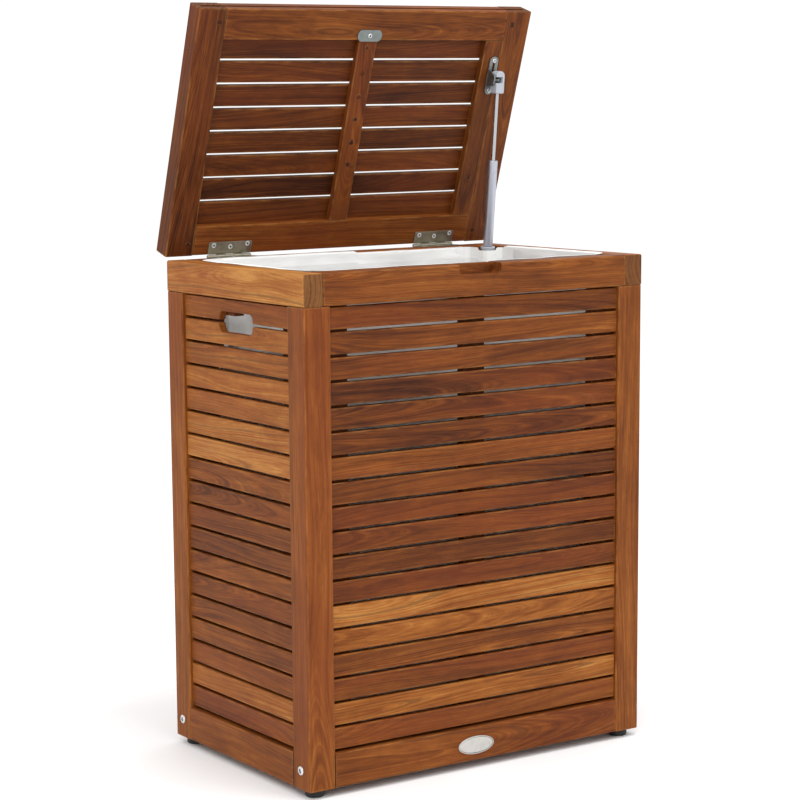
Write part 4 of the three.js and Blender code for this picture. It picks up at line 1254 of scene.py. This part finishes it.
def add_cloth_map(thing, values):
    flat_places = thing.data.attributes.new("cloth", "FLOAT_VECTOR", "POINT")
    flat_places.data.foreach_set("vector", np.array(values, np.float32).ravel())


def rim_rows(x, y, normal, share):
    """The points of the bag's edge in one column, from the outermost on the collar to the fold."""
    dip = max(STRUT_DIP * near_strut(x, y), CATCH_DIP * near_catch(x, y))
    lap = hem_lap(x, normal) * (1 - near_strut(x, y)) * (1 - near_catch(x, y))
    lean = hem_lean(x, y)
    ripple = 0.0007 * noise.noise(Vector((share * 40, 0.3, 7.7)))
    rise = 0.0008 if lap > 0 else -0.0018
    wall = BAG_GAP
    rows = [(wall + lap, rise + ripple), (wall + lap * 0.5, rise + 0.0004 + ripple),
            (wall - 0.0008, rise + ripple * 0.5), (wall * 0.5 - 0.4 * lean, rise - 0.0006),
            (-0.5 * lean - 0.0002, rise - 0.0009), (-lean - 0.0004, rise - 0.0016)]
    return [(x + normal.x * out, y + normal.y * out, COLLAR_TOP + up - dip) for out, up in rows]


def wall_spot(rim, spot, normal, share, below):
    """A point of the bag's wall, so far below its rim, with folds and the bulge at the hand holes."""
    top_x, top_y, top_z = rim[-1]
    z = top_z - below
    back_in_line = 1 - smooth(below, 0.03, 0.2)
    folds = noise.noise(Vector((share * 11, below * 60 + share * 9, 3.7))) * 0.8
    folds += noise.noise(Vector((share * 34, below * 16, 9.1))) * 0.7
    out = BAG_FULLNESS * folds * smooth(below, 0.0, 0.03) - 0.002 * smooth(below, 0, 0.06)
    out += hand_bulge(spot, normal, z)
    x = spot.x + (top_x - spot.x) * back_in_line + normal.x * out
    y = spot.y + (top_y - spot.y) * back_in_line + normal.y * out
    return x, y + BODY_MID_Y, z


def bag_band(upper, lower):
    """One row of the bag's quads. The corner that each starts from sets its diagonal."""
    return [(last, *others) for *others, last in band(upper, lower, BAG_COLUMNS)]


def bag_shape(floor_z):
    """The bag's points, faces and cloth values, how many points its hem has, and the length round it."""
    places = [(*bag_path(column / BAG_COLUMNS, BAG_GAP), column / BAG_COLUMNS)
              for column in range(BAG_COLUMNS)]
    total = places[0][2]
    rims = [rim_rows(spot.x, spot.y, normal, share) for spot, normal, _, share in places]
    points, cloth, faces = [], [], []
    hem_rows = len(rims[0])
    for row in range(hem_rows):
        for rim, (_, _, _, share) in zip(rims, places):
            points.append((rim[row][0], rim[row][1] + BODY_MID_Y, rim[row][2]))
            cloth.append((share * total, HEM_ROW * row, 1))
    for row in range(1, BAG_ROWS + 1):
        down = (row / BAG_ROWS) ** 1.35
        for rim, (spot, normal, _, share) in zip(rims, places):
            below = (rim[-1][2] - floor_z) * down
            points.append(wall_spot(rim, spot, normal, share, below))
            cloth.append((share * total, HEM_ROW * hem_rows + below, light_through(spot, normal, below)))
    rows = hem_rows + BAG_ROWS
    for row in range(rows - 1):
        faces += bag_band(row * BAG_COLUMNS, (row + 1) * BAG_COLUMNS)
    base = (rows - 1) * BAG_COLUMNS
    for ring in range(1, BAG_FLOOR_ROWS):
        shrink = 1 - ring / BAG_FLOOR_ROWS
        for x, y, z in points[base:base + BAG_COLUMNS]:
            rise = 0.003 * (1 + noise.noise(Vector((x * 22, y * 22, 5))))
            points.append((x * shrink, (y - BODY_MID_Y) * shrink + BODY_MID_Y, z + rise))
            cloth.append((x * shrink, 1 + y * shrink, 0))
        start = len(points) - BAG_COLUMNS
        faces += bag_band(start - BAG_COLUMNS, start)
    points.append((0, BODY_MID_Y, floor_z + 0.002))
    cloth.append((0, 1, 0))
    last = len(points) - 1
    faces += [face[::-1] for face in fan(last, last - BAG_COLUMNS, BAG_COLUMNS)]
    return (np.array(points), faces), cloth, BAG_COLUMNS * hem_rows, total


def make_bag():
    """An open bag hung by its hem, which folds over the collar's inner edge."""
    floor_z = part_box("laundry_bag")[0].z + 0.002
    shape, cloth, hem, total = bag_shape(floor_z)
    bag = plain_object("cotton_laundry_bag", shape)
    add_cloth_map(bag, cloth)
    settle(bag, hem + 3 * BAG_COLUMNS, floor_z)
    bag.data.shade_smooth()
    bag.data.materials.append(COTTON)
    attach(bag, "cabinet")
    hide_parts("laundry_bag")


def settle(bag, held, floor_z):
    """Lets the bag hang under its own weight from its held rim, and keeps every point near its start."""
    start = np.array([vertex.co for vertex in bag.data.vertices])
    pins = bag.vertex_groups.new(name="pins")
    pins.add(list(range(held)), 1.0, "REPLACE")
    pins.add(list(range(held, held + 4 * BAG_COLUMNS)), 0.3, "REPLACE")
    cloth = bag.modifiers.new("hang", "CLOTH")
    cloth.settings.quality = 6
    cloth.settings.mass = 0.15
    cloth.settings.tension_stiffness = 20
    cloth.settings.compression_stiffness = 8
    cloth.settings.shear_stiffness = 5
    cloth.settings.bending_stiffness = 0.6
    cloth.settings.vertex_group_mass = "pins"
    cloth.settings.effector_weights.gravity = 0.5
    cloth.point_cache.frame_start = 1
    cloth.point_cache.frame_end = SIM_FRAMES
    scene = bpy.context.scene
    for frame_number in range(1, SIM_FRAMES + 1):
        scene.frame_set(frame_number)
    graph = bpy.context.evaluated_depsgraph_get()
    hung = bag.evaluated_get(graph).to_mesh()
    moves = np.array([vertex.co for vertex in hung.vertices]) - start
    bag.modifiers.remove(cloth)
    bag.vertex_groups.remove(pins)
    scene.frame_set(1)
    lengths = np.linalg.norm(moves, axis=1, keepdims=True)
    moves *= np.minimum(1, BAG_SWAY_LIMIT / np.maximum(lengths, 1e-9))
    final = start + moves
    final[:, 2] = np.maximum(final[:, 2], floor_z)
    hanging = slice(held, None)
    reach_x = INNER_X - WALL_CLEARANCE
    reach_y = (INNER_BACK - INNER_FRONT) / 2 - WALL_CLEARANCE
    beside = behind_hand_hole(final[:, 1] - BODY_MID_Y, final[:, 2], 0.019)
    reach_x = (reach_x + (HAND_BULGE - BULGE_KEPT_IN) * beside)[hanging]
    final[hanging, 0] = np.clip(final[hanging, 0], -reach_x, reach_x)
    final[hanging, 1] = np.clip(final[hanging, 1], BODY_MID_Y - reach_y, BODY_MID_Y + reach_y)
    bag.data.vertices.foreach_set("co", final.astype(np.float32).ravel())
    bag.data.update()


def make_gusset():
    """The part of the bag that bulges round the strut's foot."""
    low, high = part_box("strut_foot_socket")
    centre = Vector(((low.x + high.x) / 2, (low.y + high.y) / 2 - BODY_MID_Y))
    radius = (high.x - low.x) / 2 + 0.0032
    right, back = INNER_X - BAG_GAP - 0.0015, (INNER_BACK - INNER_FRONT) / 2 - BAG_GAP - 0.0015
    path = [Vector((right, centre.y - 0.05)), Vector((right, centre.y - 0.03)),
            Vector((right - 0.001, centre.y - 0.021))]
    for step in range(9):
        turn = math.radians(-72 - step * 13)
        path.append(centre + radius * Vector((math.cos(turn), math.sin(turn))))
    path += [Vector((centre.x - radius - 0.002, back - 0.004)), Vector((centre.x - radius - 0.008, back)),
             Vector((centre.x - radius - 0.026, back))]
    columns, rows = 72, 26
    lengths = [0.0]
    for before, after in zip(path, path[1:]):
        lengths.append(lengths[-1] + (after - before).length)
    flange_under = high.z - 0.0068
    bottom = COLLAR_TOP - 0.075
    points, cloth = [], []
    for row in range(rows + 1):
        for column in range(columns + 1):
            walked = lengths[-1] * column / columns
            spot = Vector((np.interp(walked, lengths, [p.x for p in path]),
                           np.interp(walked, lengths, [p.y for p in path])))
            middle = 1 - smooth((spot - centre).length, radius + 0.0002, radius + 0.0022)
            top = COLLAR_TOP - 0.0015 + (flange_under - COLLAR_TOP + 0.0015) * middle
            down = row / rows
            crease = 0.0012 * noise.noise(Vector((walked * 90, down * 3, 2.2))) * down
            inward = (centre - spot).normalized() * (crease + 0.0015 * down * (1 - middle))
            points.append((spot.x - inward.x, spot.y - inward.y + BODY_MID_Y, top + (bottom - top) * down))
            cloth.append((walked, 0.004 + (top - bottom) * down, 0))
    faces = []
    for row in range(rows):
        for column in range(columns):
            corner = row * (columns + 1) + column
            faces.append((corner, corner + 1, corner + columns + 2, corner + columns + 1))
    gusset = plain_object("cotton_bag_gusset", (np.array(points), faces))
    add_cloth_map(gusset, cloth)
    gusset.data.shade_smooth()
    gusset.data.materials.append(COTTON)
    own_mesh(gusset)
    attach(gusset, "cabinet")


# ------------------------------------------------------------------ stage, light and camera


def make_stage():
    bpy.ops.mesh.primitive_plane_add(size=60, location=(0, 0, 0))
    floor = bpy.context.object
    floor.name = "studio_floor"
    material, _, shader = new_material("studio_floor", 0.9)
    shader.inputs["Base Color"].default_value = (0.97, 0.97, 0.97, 1)
    shader.inputs["Specular IOR Level"].default_value = 0.1
    floor.data.materials.append(material)
    world = bpy.data.worlds.new("studio")
    world.use_nodes = True
    background = world.node_tree.nodes["Background"]
    background.inputs["Color"].default_value = (1.0, 1.0, 1.0, 1)
    background.inputs["Strength"].default_value = 1.06
    bpy.context.scene.world = world
    bpy.context.scene.view_settings.view_transform = "Standard"


def make_light(name, place, aim, size, power, colour=(1, 1, 1)):
    light = bpy.data.lights.new(name, "AREA")
    light.shape = "RECTANGLE"
    light.size, light.size_y = size
    light.energy = power
    light.color = colour
    lamp = bpy.data.objects.new(name, light)
    lamp.location = place
    lamp.rotation_euler = (Vector(aim) - Vector(place)).to_track_quat("-Z", "Y").to_euler()
    bpy.context.scene.collection.objects.link(lamp)


def make_lights():
    aim = (0, 0, 0.5)
    make_light("key", (-2.6, -2.2, 3.0), aim, (1.4, 1.4), 34)
    make_light("fill", (2.2, -2.8, 2.2), aim, (1.6, 1.6), 6)
    make_light("top", (0.1, -0.9, 3.4), aim, (1.0, 1.0), 34)


# The camera's lens and angles, and its place from the middle of the body's foot.
LENS = 103.3
LENS_SHIFT = (0.1268, 0.0642)
CAMERA_ANGLES = (32.284, 8.646, -0.776)
CAMERA_PLACE = Vector((-1.970, -2.8155, 0.9592))


def make_camera():
    camera = bpy.data.cameras.new("camera")
    camera.lens = LENS
    camera.sensor_width = 36
    camera.shift_x, camera.shift_y = LENS_SHIFT
    camera.clip_end = 50
    yaw, pitch, roll = [math.radians(angle) for angle in CAMERA_ANGLES]
    forward = Vector((math.sin(yaw) * math.cos(pitch), math.cos(yaw) * math.cos(pitch), -math.sin(pitch)))
    right = Vector((math.cos(yaw), -math.sin(yaw), 0))
    up = right.cross(forward)
    tilted_right = math.cos(roll) * right + math.sin(roll) * up
    tilted_up = math.cos(roll) * up - math.sin(roll) * right
    viewer = bpy.data.objects.new("camera", camera)
    turn = Matrix((tilted_right, tilted_up, -forward)).transposed().to_4x4()
    place = CAMERA_PLACE + Vector((0, BODY_MID_Y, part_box("post_front_left")[0].z))
    viewer.matrix_world = Matrix.Translation(place) @ turn
    bpy.context.scene.collection.objects.link(viewer)
    bpy.context.scene.camera = viewer


# ------------------------------------------------------------------ the whole scene

make_posts()
make_bottom_rails()
make_collar()
make_panels()
make_deck()
make_lid_frame()
make_lid_slats()
make_lid_battens()
make_plugs()
make_hinges()
make_bolts()
make_feet()
make_badge()
make_catch()
make_clip()
make_rod_and_cylinder()
make_foot_socket()
make_lid_bracket()
make_body_bracket()
make_bag()
make_gusset()
make_stage()
make_lights()
make_camera()
